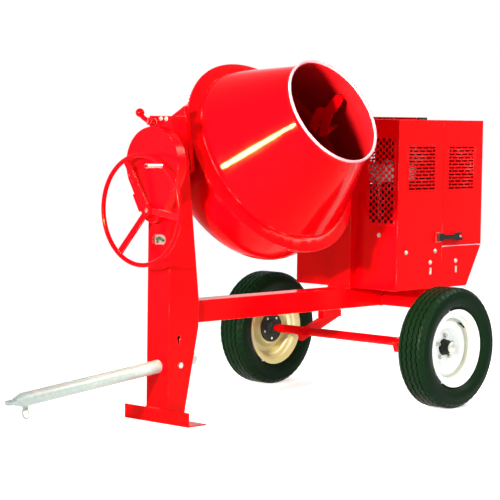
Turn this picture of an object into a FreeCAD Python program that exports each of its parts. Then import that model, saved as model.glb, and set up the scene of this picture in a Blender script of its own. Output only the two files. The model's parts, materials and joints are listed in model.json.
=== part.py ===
import FreeCAD, Part
import Sketcher
import math
import os

# Towable drum mixer. +X to the engine end, -X to the tow end, mouth of the drum to -Y, +Z up.
# Origin: centre of the outline, on the ground. Millimetres.

Vec = FreeCAD.Vector
doc = FreeCAD.newDocument("Mixer")
sheet = doc.addObject("Spreadsheet::Sheet", "D")
scratch = doc.addObject("Spreadsheet::Sheet", "Scratch")

SIZES = [
    # wheels and axle
    ("axle_x", 823), ("axle_z", 292.5), ("tyre_mid_y", 588), ("tyre_radius", 292.5),
    ("tyre_width", 165), ("rim_flange_radius", 188.9), ("rim_half_width", 62.6),
    ("rim_seat_radius", 164), ("rim_wall", 4), ("disc_y", 574), ("disc_thick", 8),
    ("lug_circle_radius", 57.15), ("lug_radius", 11), ("lug_height", 16),
    ("hub_radius", 36), ("hub_length", 66), ("hub_flange_radius", 76), ("hub_flange_thick", 12),
    ("axle_radius", 22.25), ("axle_half_length", 500), ("spindle_radius", 15),
    ("spindle_end", 612), ("running_gap", 0.05),
    # pedestal and foot
    ("post_front", -552), ("post_half_width", 70), ("post_base_z", 6), ("post_top_z", 1390),
    ("post_wall", 5), ("post_foot_x", -453), ("post_knee_x", -423), ("post_knee_z", 1057),
    ("post_head_x", -460), ("gusset_low_z", 430), ("gusset_high_z", 560),
    ("post_window_z", 832), ("post_window_half", 19), ("post_window_radius", 23),
    ("keyhole_x", -487), ("keyhole_z", 387), ("foot_half_length", 208), ("foot_leg", 65),
    ("foot_sole", 110), ("foot_thick", 6),
    # beam and cross member
    ("beam_front", -362), ("beam_size", 102), ("beam_z", 446), ("beam_wall", 6),
    ("cross_x", 989), ("cross_half_length", 320),
    ("arm_y", 313), ("arm_thick", 26), ("arm_height", 50), ("arm_length", 300), ("arm_slope", 20.8),
    ("block_x", 935), ("block_length", 136), ("block_z", 392),
    # cabinet
    ("cab_front", 754), ("cab_seam", 1112), ("cab_rear", 1439), ("cab_half_width", 326.5),
    ("cab_floor", 548), ("cab_split", 751), ("cab_top", 1388), ("cab_tail", 1323),
    ("sheet_wall", 3), ("seam_gap", 2),
    ("louvre_z", 1034), ("louvre_height", 233), ("louvre_a_x", 826), ("louvre_b_x", 1146),
    ("louvre_length", 232), ("louvre_rows", 13), ("louvre_edge", 10), ("slot_height", 10),
    ("slot_bridge", 9), ("grille_y", 136), ("grille_width", 171), ("grille_z", 870),
    ("grille_height", 435), ("grille_hole", 10), ("grille_rows", 13), ("grille_columns", 4),
    ("grille_edge", 18),
    ("upright_front", 705), ("hinge_z", 1394), ("hinge_radius", 6),
    ("latch_z", 803), ("latch_height", 40), ("latch_length", 190), ("latch_thick", 14),
    ("latch_stand_off", 9), ("latch_pivot_x", 1075), ("latch_stud_x", 1235.5), ("latch_stud", 10),
    ("outlet_x", 1305), ("outlet_half", 36), ("side_bolt", 7), ("side_bolt_height", 6),
    ("seam_bolt_z", 735), ("seam_bolt_a_x", 826), ("seam_bolt_b_x", 1058), ("stand_bolt_z", 679),
    ("stand_bolt_a_x", 1020), ("stand_bolt_b_x", 1229), ("strap_z", 620), ("strap_height", 32),
    ("strap_width", 10), ("front_bolt_y", 212), ("front_bolt_z", 819),
    # tilt axis and drum
    ("tilt_z", 1174), ("drum_x", 137), ("drum_tilt", 30), ("drum_wall", 4),
    ("bowl_radius", 448), ("bowl_depth", 276), ("bowl_corner", 165),
    ("ring_inner", 441), ("ring_outer", 505), ("ring_back", 56), ("ring_front", 84),
    ("ring_lip", 64), ("cone_radius", 445), ("cone_shoulder", 100), ("neck_radius", 262),
    ("neck_start", 470), ("mouth_reach", 504), ("lip_radius", 6.5),
    ("bevel_module", 7.5), ("bevel_reach", 480), ("ring_teeth", 128), ("bevel_teeth", 12),
    ("bevel_inner", 455), ("bevel_outer", 500), ("bevel_backlash", 0.6),
    ("fork_radius", 248), ("fork_thick", 10), ("fork_strut", 13),
    # yoke
    ("yoke_inner", 513), ("yoke_plate", 24), ("yoke_bar", 40), ("yoke_bar_half", 45),
    ("yoke_back", 392), ("yoke_cross", 60), ("spindle_hub", 55), ("drum_spindle", 25),
    ("trunnion_radius", 22.5), ("bearing_radius", 45), ("sleeve_radius", 37.5),
    ("drive_shaft_radius", 20),
    # dump gears and handwheel
    ("spur_module", 4), ("bull_teeth", 79), ("spur_teeth", 24), ("wheel_drop", 206),
    ("gear_x", -592), ("gear_width", 25), ("guard_front", -602), ("guard_radius", 168),
    ("guard_foot", 67), ("guard_foot_z", 957), ("guard_wall", 3), ("wheel_shaft_radius", 12.5),
    ("handwheel_x", -667), ("handwheel_radius", 246), ("rim_tube", 10.5), ("handwheel_hub_x", -638),
    ("handwheel_hub_radius", 30), ("handwheel_hub_length", 34), ("spoke_width", 30),
    ("peg_radius", 10.5), ("peg_length", 90), ("peg_angle", 34.5), ("peg_stud", 5),
    ("lock_y", 35), ("lock_rise", 191), ("lock_radius", 8), ("lock_hub_x", -592),
    ("lock_hub_length", 16), ("lock_bolt_end", -410), ("lock_house_radius", 13),
    ("lock_house_length", 103), ("house_front", -560), ("house_length", 125),
    ("low_bearing_radius", 24), ("horn_radius", 11), ("horn_knob", 20),
    # tow tube
    ("tow_radius", 30.15), ("tow_slope", 5.4), ("tow_rear_x", -327), ("tow_cone_x", -1352),
    ("tow_datum_x", -552), ("tow_datum_z", 255.6), ("tow_pin_x", -480), ("tow_pin_radius", 7.5),
    ("tow_bolt_head", 13), ("tongue_length", 65.6), ("tongue_half", 22), ("tongue_thick", 14),
    # belt drive and engine
    ("pulley_x", 772), ("pulley_width", 34), ("big_pulley", 100), ("small_pulley", 50),
    ("belt_drop", 330), ("output_radius", 12.5), ("engine_x", 850), ("engine_floor", 760),
    ("case_length", 240), ("case_half_width", 110), ("case_height", 145), ("stand_margin", 20),
    ("stand_half_width", 150), ("stand_thick", 8), ("stand_leg", 30), ("fan_radius", 88),
    ("fan_length", 48), ("fan_rise", 90), ("lever_offset", 150), ("lever_rise", 110),
    ("barrel_height", 145), ("fin_count", 8), ("fin_pitch", 14), ("tank_low_y", -165),
    ("tank_high_y", 125), ("tank_height", 92), ("tank_rise", 361), ("muffler_radius", 46),
    ("muffler_z", 1060),
]


def fill_sheet():
    for row, (alias, value) in enumerate(SIZES, start=1):
        sheet.set("A%d" % row, alias)
        sheet.set("B%d" % row, str(value))
        sheet.setAlias("B%d" % row, alias)
    doc.recompute()


fill_sheet()


def size(alias):
    return float(sheet.get(alias))


TURN = {
    "X": FreeCAD.Rotation(Vec(0, 1, 0), 90),
    "Y": FreeCAD.Rotation(Vec(1, 0, 0), -90),
    "Z": FreeCAD.Rotation(),
}


def bind(item, **rules):
    for name, text in rules.items():
        item.setExpression(name, str(text))


def put(item, spot):
    for axis, text in zip("xyz", spot):
        item.setExpression("Placement.Base." + axis, str(text))
    return item


def box(name, lengths, spot):
    item = doc.addObject("Part::Box", name)
    bind(item, Length=lengths[0], Width=lengths[1], Height=lengths[2])
    return put(item, spot)


def slab(name, low, high):
    """Box between two corners, each given as three formulas."""
    lengths = ["(%s) - (%s)" % (b, a) for a, b in zip(low, high)]
    return box(name, lengths, low)


def rod(name, radius, length, spot, along="Z"):
    item = doc.addObject("Part::Cylinder", name)
    item.Placement = FreeCAD.Placement(Vec(), TURN[along])
    bind(item, Radius=radius, Height=length)
    return put(item, spot)


def taper(name, radius_a, radius_b, length, spot, along="Z"):
    item = doc.addObject("Part::Cone", name)
    item.Placement = FreeCAD.Placement(Vec(), TURN[along])
    bind(item, Radius1=radius_a, Radius2=radius_b, Height=length)
    return put(item, spot)


def hoop(name, radius, thickness, spot, along="Z"):
    item = doc.addObject("Part::Torus", name)
    item.Placement = FreeCAD.Placement(Vec(), TURN[along])
    bind(item, Radius1=radius, Radius2=thickness)
    return put(item, spot)


def spin(item, axis, degrees):
    item.Placement = FreeCAD.Placement(item.Placement.Base, FreeCAD.Rotation(axis, degrees))
    return item


def join(name, parts):
    item = doc.addObject("Part::MultiFuse", name)
    item.Shapes = parts
    return item


def group(name, parts):
    item = doc.addObject("Part::Compound", name)
    item.Links = parts
    return item


def cut(name, base, tools):
    tool = tools[0] if len(tools) == 1 else join(name + "_tools", tools)
    item = doc.addObject("Part::Cut", name)
    item.Base = base
    item.Tool = tool
    return item


def feature(name, shape):
    item = doc.addObject("Part::Feature", name)
    item.Shape = shape
    return item


def new_body(name):
    return doc.addObject("PartDesign::Body", name)


def new_sketch(body, plane, name):
    sketch = body.newObject("Sketcher::SketchObject", name)
    support = [f for f in body.Origin.OriginFeatures if f.Role == plane][0]
    sketch.AttachmentSupport = [(support, "")]
    sketch.MapMode = "FlatFace"
    return sketch


def value_of(text):
    """Number of a formula, worked out on a second sheet."""
    scratch.set("A1", "=" + str(text))
    scratch.recompute()
    found = scratch.get("A1")
    return float(getattr(found, "Value", found))


def outline(sketch, corners):
    """Closed polygon whose corners are pinned to formulas."""
    spots = [Vec(value_of(a), value_of(b), 0) for a, b in corners]
    first = sketch.GeometryCount
    count = len(spots)
    for i in range(count):
        sketch.addGeometry(Part.LineSegment(spots[i], spots[(i + 1) % count]), False)
    for i in range(count):
        following = first + (i + 1) % count
        sketch.addConstraint(Sketcher.Constraint("Coincident", first + i, 2, following, 1))
    for i, (across, up) in enumerate(corners):
        for kind, text, number in (("DistanceX", across, spots[i].x), ("DistanceY", up, spots[i].y)):
            index = sketch.addConstraint(Sketcher.Constraint(kind, -1, 1, first + i, 1, number))
            sketch.setExpression("Constraints[%d]" % index, str(text))


def spun(name, corners):
    """Solid of revolution about Z from (radius, height) corners."""
    body = new_body(name)
    sketch = new_sketch(body, "XZ_Plane", name + "_sketch")
    outline(sketch, corners)
    turn = body.newObject("PartDesign::Revolution", name + "_turn")
    turn.Profile = sketch
    turn.ReferenceAxis = (sketch, ["V_Axis"])
    turn.Angle = 360
    body.Tip = turn
    doc.recompute()
    return body


def plate(name, plane, corners, thickness):
    """Flat plate, its mid plane on the sketch plane."""
    body = new_body(name)
    sketch = new_sketch(body, plane, name + "_sketch")
    outline(sketch, corners)
    pad = body.newObject("PartDesign::Pad", name + "_pad")
    pad.Profile = sketch
    pad.Midplane = True
    bind(pad, Length=thickness)
    body.Tip = pad
    doc.recompute()
    return body


def soften(body, radius, chosen):
    """Fillet on the edges of the body's last feature that the test picks."""
    doc.recompute()
    base = body.Tip
    names = ["Edge%d" % i for i, edge in enumerate(base.Shape.Edges, start=1) if chosen(edge)]
    rounding = body.newObject("PartDesign::Fillet", base.Name + "_round")
    rounding.Base = (base, names)
    bind(rounding, Radius=radius)
    body.Tip = rounding
    doc.recompute()
    return body


def circle_at(radius, height):
    def test(edge):
        curve = edge.Curve
        if not hasattr(curve, "Radius"):
            return False
        return abs(curve.Radius - radius) < 0.05 and abs(curve.Center.z - height) < 0.05
    return test


NODES = []


def keep(label, item):
    item.Label = label
    NODES.append(item)
    return item


def ride_yoke(item):
    """Seat a piece drawn on the drum's own axes: Z to the mouth, X along the tilt axis."""
    item.Placement = FreeCAD.Placement(Vec(), FreeCAD.Rotation(Vec(1, 0, 0), 60))
    put(item, ("D.drum_x", "0", "D.tilt_z"))
    item.setExpression("Placement.Rotation.Angle", "90 - D.drum_tilt")
    return item


# ---------------------------------------------------------------- pedestal and foot
POST_SIDE = [
    ("D.post_front", "D.post_base_z"), ("D.post_foot_x", "D.post_base_z"),
    ("D.beam_front", "D.gusset_low_z"), ("D.beam_front", "D.gusset_high_z"),
    ("D.post_knee_x", "D.post_knee_z"), ("D.post_head_x", "D.post_top_z"),
    ("D.post_front", "D.post_top_z"),
]
POST_HOLLOW = [
    ("D.post_front + D.post_wall", "D.post_base_z - D.post_wall"),
    ("D.post_foot_x - D.post_wall", "D.post_base_z - D.post_wall"),
    ("D.beam_front - D.post_wall", "D.gusset_low_z"),
    ("D.beam_front - D.post_wall", "D.gusset_high_z"),
    ("D.post_knee_x - D.post_wall", "D.post_knee_z"),
    ("D.post_head_x - D.post_wall", "D.post_top_z - D.post_wall"),
    ("D.post_front + D.post_wall", "D.post_top_z - D.post_wall"),
]
LOW_Z = "(D.tilt_z - D.wheel_drop)"
LOCK_Z = "(D.tilt_z + D.lock_rise)"
TOW_PIN_Z = "(D.tow_datum_z + (D.tow_pin_x - D.tow_datum_x) * tan(D.tow_slope))"


def tow_rod(name, radius, start_x, end_x):
    """Cylinder on the sloping line of the tow tube, from start_x forward to end_x."""
    item = doc.addObject("Part::Cylinder", name)
    item.Placement.Rotation = FreeCAD.Rotation(Vec(0, -1, 0), 90 + size("tow_slope"))
    item.setExpression("Placement.Rotation.Angle", "90 + D.tow_slope")
    bind(item, Radius=radius, Height="((%s) - (%s)) / cos(D.tow_slope)" % (start_x, end_x))
    rise = "D.tow_datum_z + ((%s) - D.tow_datum_x) * tan(D.tow_slope)" % start_x
    return put(item, (start_x, "0", rise))


def build_post():
    outer = plate("post_outer", "XZ_Plane", POST_SIDE, "2 * D.post_half_width")
    inner = plate("post_inner", "XZ_Plane", POST_HOLLOW, "2 * (D.post_half_width - D.post_wall)")
    front = "D.post_front - 10"
    window = [
        rod("window_a", "D.post_window_radius", "30", (front, "-D.post_window_half", "D.post_window_z"), "X"),
        rod("window_b", "D.post_window_radius", "30", (front, "D.post_window_half", "D.post_window_z"), "X"),
        slab("window_c", (front, "-D.post_window_half", "D.post_window_z - D.post_window_radius"),
             ("D.post_front + 20", "D.post_window_half", "D.post_window_z + D.post_window_radius")),
    ]
    outside = "-D.post_half_width - 10"
    keyhole = [
        rod("key_eye", "11", "30", ("D.keyhole_x", outside, "D.keyhole_z"), "Y"),
        slab("key_slot", ("D.keyhole_x - 5", outside, "D.keyhole_z - 27"),
             ("D.keyhole_x + 5", "20 - D.post_half_width", "D.keyhole_z")),
    ]
    bores = [
        rod("bore_top", "D.bearing_radius", "200", (front, "0", "D.tilt_z"), "X"),
        rod("bore_low", "D.low_bearing_radius", "200", (front, "0", LOW_Z), "X"),
        rod("bore_lock", "D.lock_house_radius", "200", (front, "D.lock_y", LOCK_Z), "X"),
        tow_rod("bore_tow", "D.tow_radius + 0.3", "D.tow_rear_x", "D.post_front - 60"),
        rod("bore_pin", "D.tow_pin_radius + 0.5", "200", ("D.tow_pin_x", "-100", TOW_PIN_Z), "Y"),
    ]
    keep("pedestal", cut("pedestal", outer, [inner] + window + keyhole + bores))
    leg = slab("foot_leg", ("D.post_front - D.foot_thick", "-D.foot_half_length", "0"),
               ("D.post_front", "D.foot_half_length", "D.foot_leg"))
    sole = slab("foot_sole", ("D.post_front - D.foot_thick", "-D.foot_half_length", "0"),
                ("D.post_front + D.foot_sole", "D.foot_half_length", "D.foot_thick"))
    keep("foot", join("foot", [leg, sole]))


def build_front_bearings():
    start = "D.house_front"
    lock_start = "D.post_front - 1"
    houses = [
        rod("main_house", "D.bearing_radius", "D.house_length + 7", (start, "0", "D.tilt_z"), "X"),
        rod("low_house", "D.low_bearing_radius", "D.house_length", (start, "0", LOW_Z), "X"),
        rod("lock_house", "D.lock_house_radius", "D.lock_house_length",
            (lock_start, "D.lock_y", LOCK_Z), "X"),
    ]
    before = "D.house_front - 5"
    bores = [
        rod("main_bore", "D.trunnion_radius + D.running_gap", "150", (before, "0", "D.tilt_z"), "X"),
        rod("low_bore", "D.wheel_shaft_radius + D.running_gap", "150", (before, "0", LOW_Z), "X"),
        rod("lock_bore", "D.lock_radius + D.running_gap", "150", (before, "D.lock_y", LOCK_Z), "X"),
    ]
    keep("front_bearings", cut("front_bearings", group("bearing_houses", houses), bores))


build_post()
build_front_bearings()


# ---------------------------------------------------------------- frame
def hollow_bar(name, low, high, wall, along):
    """Square tube between two corners, open along one axis."""
    outer = slab(name + "_out", low, high)
    inner_low = []
    inner_high = []
    for axis, a, b in zip("XYZ", low, high):
        if axis == along:
            inner_low.append("(%s) - 5" % a)
            inner_high.append("(%s) + 5" % b)
        else:
            inner_low.append("(%s) + %s" % (a, wall))
            inner_high.append("(%s) - %s" % (b, wall))
    return cut(name, outer, [slab(name + "_in", inner_low, inner_high)])


def build_frame():
    half = "D.beam_size / 2"
    top = "D.beam_z + D.beam_size"
    keep("beam", hollow_bar("beam", ("D.beam_front", "-" + half, "D.beam_z"),
                            ("D.cross_x", half, top), "D.beam_wall", "X"))
    keep("cross_member", hollow_bar(
        "cross_member", ("D.cross_x", "-D.cross_half_length", "D.beam_z"),
        ("D.cross_x + D.beam_size", "D.cross_half_length", top), "D.beam_wall", "Y"))
    tube = rod("axle_tube", "D.axle_radius", "2 * D.axle_half_length",
               ("D.axle_x", "-D.axle_half_length", "D.axle_z"), "Y")
    stubs = rod("axle_stub", "D.spindle_radius", "2 * D.spindle_end",
                ("D.axle_x", "-D.spindle_end", "D.axle_z"), "Y")
    keep("axle", join("axle", [tube, stubs]))
    arms = []
    blocks = []
    for tag, side in (("near", -1), ("far", 1)):
        arm = box("arm_" + tag, ("D.arm_length", "D.arm_thick", "D.arm_height"),
                  ("D.axle_x - 42", "%d * D.arm_y - D.arm_thick / 2" % side, "D.axle_z - 46"))
        spin(arm, Vec(0, -1, 0), size("arm_slope"))
        bolt_hole = rod("arm_hole_" + tag, "D.axle_radius", "60",
                        ("D.axle_x", "%d * D.arm_y - 30" % side, "D.axle_z"), "Y")
        arms.append(cut("arm_body_" + tag, arm, [bolt_hole]))
        low_y = "%d * D.arm_y - 22" % side
        high_y = "%d * D.arm_y + 22" % side
        cap = slab("block_cap_" + tag, ("D.block_x", low_y, "D.block_z - 36"),
                   ("D.block_x + D.block_length", high_y, "D.block_z"))
        hang_x = "D.cross_x + 6"
        hanger = slab("hanger_" + tag, (hang_x, low_y, "D.block_z"),
                      ("D.cross_x + 70", high_y, "D.beam_z"))
        blocks.append(cut("block_" + tag, join("block_raw_" + tag, [cap, hanger]),
                          [arm]))
    keep("axle_arms", group("axle_arms", arms))
    keep("arm_hangers", group("arm_hangers", blocks))


build_frame()


# ---------------------------------------------------------------- wheels
TYRE = [
    ("D.rim_seat_radius + 0.2", "-53"), ("D.rim_flange_radius + 1", "-57"), ("205", "-76"),
    ("240", "-D.tyre_width / 2"), ("268", "-78"), ("283", "-67"), ("D.tyre_radius - 3", "-58"),
    ("D.tyre_radius", "-50"),
    ("D.tyre_radius", "-36"), ("D.tyre_radius - 8", "-34"), ("D.tyre_radius - 8", "-29"),
    ("D.tyre_radius", "-27"), ("D.tyre_radius", "-13"), ("D.tyre_radius - 8", "-11"),
    ("D.tyre_radius - 8", "-6"), ("D.tyre_radius", "-4"), ("D.tyre_radius", "4"),
    ("D.tyre_radius - 8", "6"), ("D.tyre_radius - 8", "11"), ("D.tyre_radius", "13"),
    ("D.tyre_radius", "27"), ("D.tyre_radius - 8", "29"), ("D.tyre_radius - 8", "34"),
    ("D.tyre_radius", "36"),
    ("D.tyre_radius", "50"), ("D.tyre_radius - 3", "58"), ("283", "67"), ("268", "78"),
    ("240", "D.tyre_width / 2"), ("205", "76"), ("D.rim_flange_radius + 1", "57"),
    ("D.rim_seat_radius + 0.2", "53"),
]
TYRE_AIR = [
    ("150", "-38"), ("172", "-40"), ("205", "-66"), ("240", "-71"), ("266", "-66"), ("274", "-54"),
    ("274", "54"), ("266", "66"), ("240", "71"), ("205", "66"), ("172", "40"), ("150", "38"),
]
RIM = [
    ("D.rim_flange_radius", "-D.rim_half_width"), ("D.rim_flange_radius - 6", "-D.rim_half_width"),
    ("D.rim_seat_radius - D.rim_wall", "-54"), ("D.rim_seat_radius - D.rim_wall", "-34"),
    ("146", "-28"), ("146", "26"), ("D.rim_seat_radius - D.rim_wall", "34"),
    ("D.rim_seat_radius - D.rim_wall", "54"), ("D.rim_flange_radius - 6", "D.rim_half_width"),
    ("D.rim_flange_radius", "D.rim_half_width"), ("D.rim_flange_radius", "D.rim_half_width - 4"),
    ("D.rim_seat_radius", "54"), ("D.rim_seat_radius", "32"), ("150", "24"), ("150", "-26"),
    ("D.rim_seat_radius", "-32"), ("D.rim_seat_radius", "-54"),
    ("D.rim_flange_radius", "4 - D.rim_half_width"),
]


def wheel_turn(item, side):
    """Turn a piece drawn about Z so that its +Z points outboard on the given side."""
    item.Placement = FreeCAD.Placement(Vec(), FreeCAD.Rotation(Vec(1, 0, 0), -90 * side))
    return put(item, ("D.axle_x", "%d * D.tyre_mid_y" % side, "D.axle_z"))


def build_wheel(tag, side):
    tyre_solid = spun("tyre_raw_" + tag, TYRE)
    air = spun("tyre_air_" + tag, TYRE_AIR)
    tyre = cut("tyre_" + tag, tyre_solid, [air])
    keep("tyre_" + tag, wheel_turn(tyre, side))
    barrel = spun("rim_barrel_" + tag, RIM)
    inboard = "D.disc_y - D.tyre_mid_y"
    disc = spun("rim_disc_" + tag, [
        ("40", inboard), ("82", inboard), ("100", inboard + " + 22"), ("128", inboard + " + 26"),
        ("147", inboard + " + 14"), ("147", inboard + " + 14 - D.disc_thick"),
        ("128", inboard + " + 26 - D.disc_thick"), ("104", inboard + " + 22 - D.disc_thick"),
        ("86", inboard + " - D.disc_thick"), ("40", inboard + " - D.disc_thick")])
    holes = []
    nuts = []
    for i in range(5):
        angle = math.radians(72 * i + 90)
        across = "D.lug_circle_radius * %.6f" % math.cos(angle)
        up = "D.lug_circle_radius * %.6f" % math.sin(angle)
        holes.append(rod("lug_hole_%s_%d" % (tag, i), "7", "60", (across, up, "-60")))
        nut = doc.addObject("Part::Prism", "nut_%s_%d" % (tag, i))
        nut.Polygon = 6
        bind(nut, Circumradius="D.lug_radius", Height="D.lug_height")
        put(nut, (across, up, inboard))
        stud = rod("stud_%s_%d" % (tag, i), "6.5", "D.disc_thick + D.hub_flange_thick + 12",
                   (across, up, inboard + " - D.disc_thick - D.hub_flange_thick"))
        nuts.append(join("lug_%s_%d" % (tag, i), [nut, stud]))
    rim = cut("rim_" + tag, join("rim_raw_" + tag, [barrel, disc]), holes)
    keep("rim_" + tag, wheel_turn(rim, side))
    keep("lug_nuts_" + tag, wheel_turn(group("lug_nuts_" + tag, nuts), side))
    flange_z = inboard + " - D.disc_thick - D.hub_flange_thick"
    hub_back = inboard + " - D.disc_thick - D.hub_flange_thick - 26"
    core = rod("hub_core_" + tag, "D.hub_radius", "D.hub_length", ("0", "0", hub_back))
    flange = rod("hub_plate_" + tag, "D.hub_flange_radius", "D.hub_flange_thick", ("0", "0", flange_z))
    cap = taper("hub_cap_" + tag, "28", "24", "26", ("0", "0", "(%s) + D.hub_length" % hub_back))
    bore = rod("hub_bore_" + tag, "D.spindle_radius + D.running_gap", "88", ("0", "0", "-62"))
    stud_holes = [rod("hub_hole_%s_%d" % (tag, i), "6.5", "30",
                      ("D.lug_circle_radius * %.6f" % math.cos(math.radians(72 * i + 90)),
                       "D.lug_circle_radius * %.6f" % math.sin(math.radians(72 * i + 90)),
                       flange_z + " - 5")) for i in range(5)]
    hub = cut("hub_" + tag, join("hub_raw_" + tag, [core, flange, cap]), [bore] + stud_holes)
    keep("hub_" + tag, wheel_turn(hub, side))


build_wheel("near", -1)
build_wheel("far", 1)


# ---------------------------------------------------------------- cabinet
def punch(body, name, sketch, spread, count):
    """Cut the sketch through the sheet and repeat the cut up the sheet."""
    pocket = body.newObject("PartDesign::Pocket", name)
    pocket.Profile = sketch
    pocket.Type = "ThroughAll"
    pocket.Midplane = True
    body.Tip = pocket
    doc.recompute()
    rows = body.newObject("PartDesign::LinearPattern", name + "_rows")
    rows.Originals = [pocket]
    rows.Direction = (sketch, ["V_Axis"])
    rows.Length = value_of(spread)
    rows.Occurrences = count
    bind(rows, Length=spread)
    body.Tip = rows
    doc.recompute()
    return body


def louvre_panel(name):
    """Sheet in the XZ plane with short slots laid like bricks."""
    body = plate(name, "XZ_Plane", [
        ("0", "0"), ("D.louvre_length", "0"), ("D.louvre_length", "D.louvre_height"),
        ("0", "D.louvre_height")], "D.sheet_wall")
    pitch = "(D.louvre_length - 2 * D.louvre_edge) / 4"
    rise = "(D.louvre_height - 2 * D.louvre_edge - D.slot_height) / (D.louvre_rows - 1)"
    even = [(i, i + 1) for i in range(4)]
    odd = [(0, 0.5), (0.5, 1.5), (1.5, 2.5), (2.5, 3.5), (3.5, 4)]
    rows = int(size("louvre_rows"))
    for course, spans in enumerate((even, odd)):
        sketch = new_sketch(body, "XZ_Plane", "%s_course_%d" % (name, course))
        low = "D.louvre_edge + %d * %s" % (course, rise)
        high = low + " + D.slot_height"
        for start, end in spans:
            left = "D.louvre_edge + %s * %s + D.slot_bridge / 2" % (start, pitch)
            right = "D.louvre_edge + %s * %s - D.slot_bridge / 2" % (end, pitch)
            outline(sketch, [(left, low), (right, low), (right, high), (left, high)])
        count = (rows + 1 - course) // 2
        punch(body, "%s_punch_%d" % (name, course), sketch, "%d * %s" % (2 * (count - 1), rise), count)
    return body


def louvre_pair(label, start_x):
    panels = []
    for tag, side in (("near", -1), ("far", 1)):
        panel = louvre_panel(label + "_" + tag)
        put(panel, (start_x, "%d * (D.cab_half_width - D.sheet_wall / 2)" % side, "D.louvre_z"))
        panels.append(panel)
    return keep(label, group(label, panels))


def shell(name, low, high, openings, rounded):
    """Sheet-metal box, hollow, with the corners given as formulas."""
    outer = slab(name + "_out", low, high)
    wall = "D.sheet_wall"
    skin = slab(name + "_in", ["(%s) + %s" % (low[0], wall) if rounded else "(%s) - 5" % low[0],
                               "(%s) + %s" % (low[1], wall), "(%s) + %s" % (low[2], wall)],
                ["(%s) + 5" % high[0] if rounded else "(%s) - %s" % (high[0], wall),
                 "(%s) - %s" % (high[1], wall), "(%s) - %s" % (high[2], wall)])
    return cut(name, outer, [skin] + openings)


def side_window(name, start_x):
    return slab(name, (start_x, "-D.cab_half_width - 5", "D.louvre_z"),
                (start_x + " + D.louvre_length", "D.cab_half_width + 5", "D.louvre_z + D.louvre_height"))


def build_cabinet():
    wide = "D.cab_half_width"
    openings = [side_window("window_front", "D.louvre_a_x")]
    for tag, low_y in (("near", "-D.grille_y - D.grille_width"), ("far", "D.grille_y")):
        openings.append(slab("grille_window_" + tag, ("D.cab_front - 5", low_y, "D.grille_z"),
                             ("D.cab_front + 20", low_y + " + D.grille_width",
                              "D.grille_z + D.grille_height")))
    openings.append(rod("cab_shaft_hole", "D.sleeve_radius + 6", "40",
                        ("D.cab_front - 10", "0", "D.tilt_z"), "X"))
    front = shell("cabinet_front", ("D.cab_front", "-" + wide, "D.cab_floor"),
                  ("D.cab_seam", wide, "D.cab_top"), openings, True)
    keep("cabinet_front", front)
    louvre_pair("louvres_front", "D.louvre_a_x")
    tail = [("D.cab_seam", "D.cab_floor"), ("D.cab_tail", "D.cab_floor"), ("D.cab_rear", "D.cab_split"),
            ("D.cab_seam", "D.cab_split")]
    hollow = [("D.cab_seam - 5", "D.cab_floor + D.sheet_wall"),
              ("D.cab_tail - 2", "D.cab_floor + D.sheet_wall"),
              ("D.cab_rear - 3.5", "D.cab_split + 5"), ("D.cab_seam - 5", "D.cab_split + 5")]
    base = cut("cabinet_base", plate("base_out", "XZ_Plane", tail, "2 * " + wide),
               [plate("base_in", "XZ_Plane", hollow, "2 * (" + wide + " - D.sheet_wall)")])
    keep("cabinet_base", base)
    hood = shell("hood_skin", ("D.cab_seam + D.seam_gap", "-" + wide, "D.cab_split + D.seam_gap"),
                 ("D.cab_rear", wide, "D.cab_top"),
                 [side_window("window_rear", "D.louvre_b_x"),
                  slab("hood_mouth", ("D.cab_seam", "3 - " + wide, "D.cab_split - 5"),
                       ("D.cab_rear - 3", wide + " - 3", "D.cab_split + 20")),
                  rod("outlet_hole", "24", "20", ("D.outlet_x", "0", "D.cab_top - 10"), "Z")], False)
    keep("hood_rear", hood)
    half = "D.latch_stud / 2"
    reach = "D.latch_stand_off + D.latch_thick + 2"
    studs = [slab("stud_" + tag, ("D.latch_stud_x - " + half, low, "D.latch_z - " + half),
                  ("D.latch_stud_x + " + half, high, "D.latch_z + " + half))
             for tag, low, high in (("near", "-(%s + %s)" % (wide, reach), "-" + wide),
                                    ("far", wide, "%s + %s" % (wide, reach)))]
    keep("latch_studs", group("latch_studs", studs))
    louvre_pair("louvres_rear", "D.louvre_b_x")


def grille_panel(name, low_y):
    """Front sheet in the YZ plane with staggered round holes."""
    body = plate(name, "YZ_Plane", [
        ("0", "0"), ("D.grille_width", "0"), ("D.grille_width", "D.grille_height"),
        ("0", "D.grille_height")], "D.sheet_wall")
    columns = int(size("grille_columns"))
    rows = int(size("grille_rows"))
    pitch = size("grille_width") / (columns + 0.5)
    rise = (size("grille_height") - 2 * size("grille_edge")) / (2 * rows - 1)
    sketch = new_sketch(body, "YZ_Plane", name + "_holes")
    for stagger in range(2):
        for column in range(columns):
            centre = Vec(pitch * (column + 0.5 + 0.5 * stagger), size("grille_edge") + rise * stagger, 0)
            sketch.addGeometry(Part.Circle(centre, Vec(0, 0, 1), size("grille_hole")), False)
            index = sketch.addConstraint(
                Sketcher.Constraint("Radius", sketch.GeometryCount - 1, size("grille_hole")))
            sketch.setExpression("Constraints[%d]" % index, "D.grille_hole")
    punch(body, name + "_punch", sketch, "%.4f" % (2 * rise * (rows - 1)), rows)
    return put(body, ("D.cab_front + D.sheet_wall / 2", low_y, "D.grille_z"))


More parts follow.
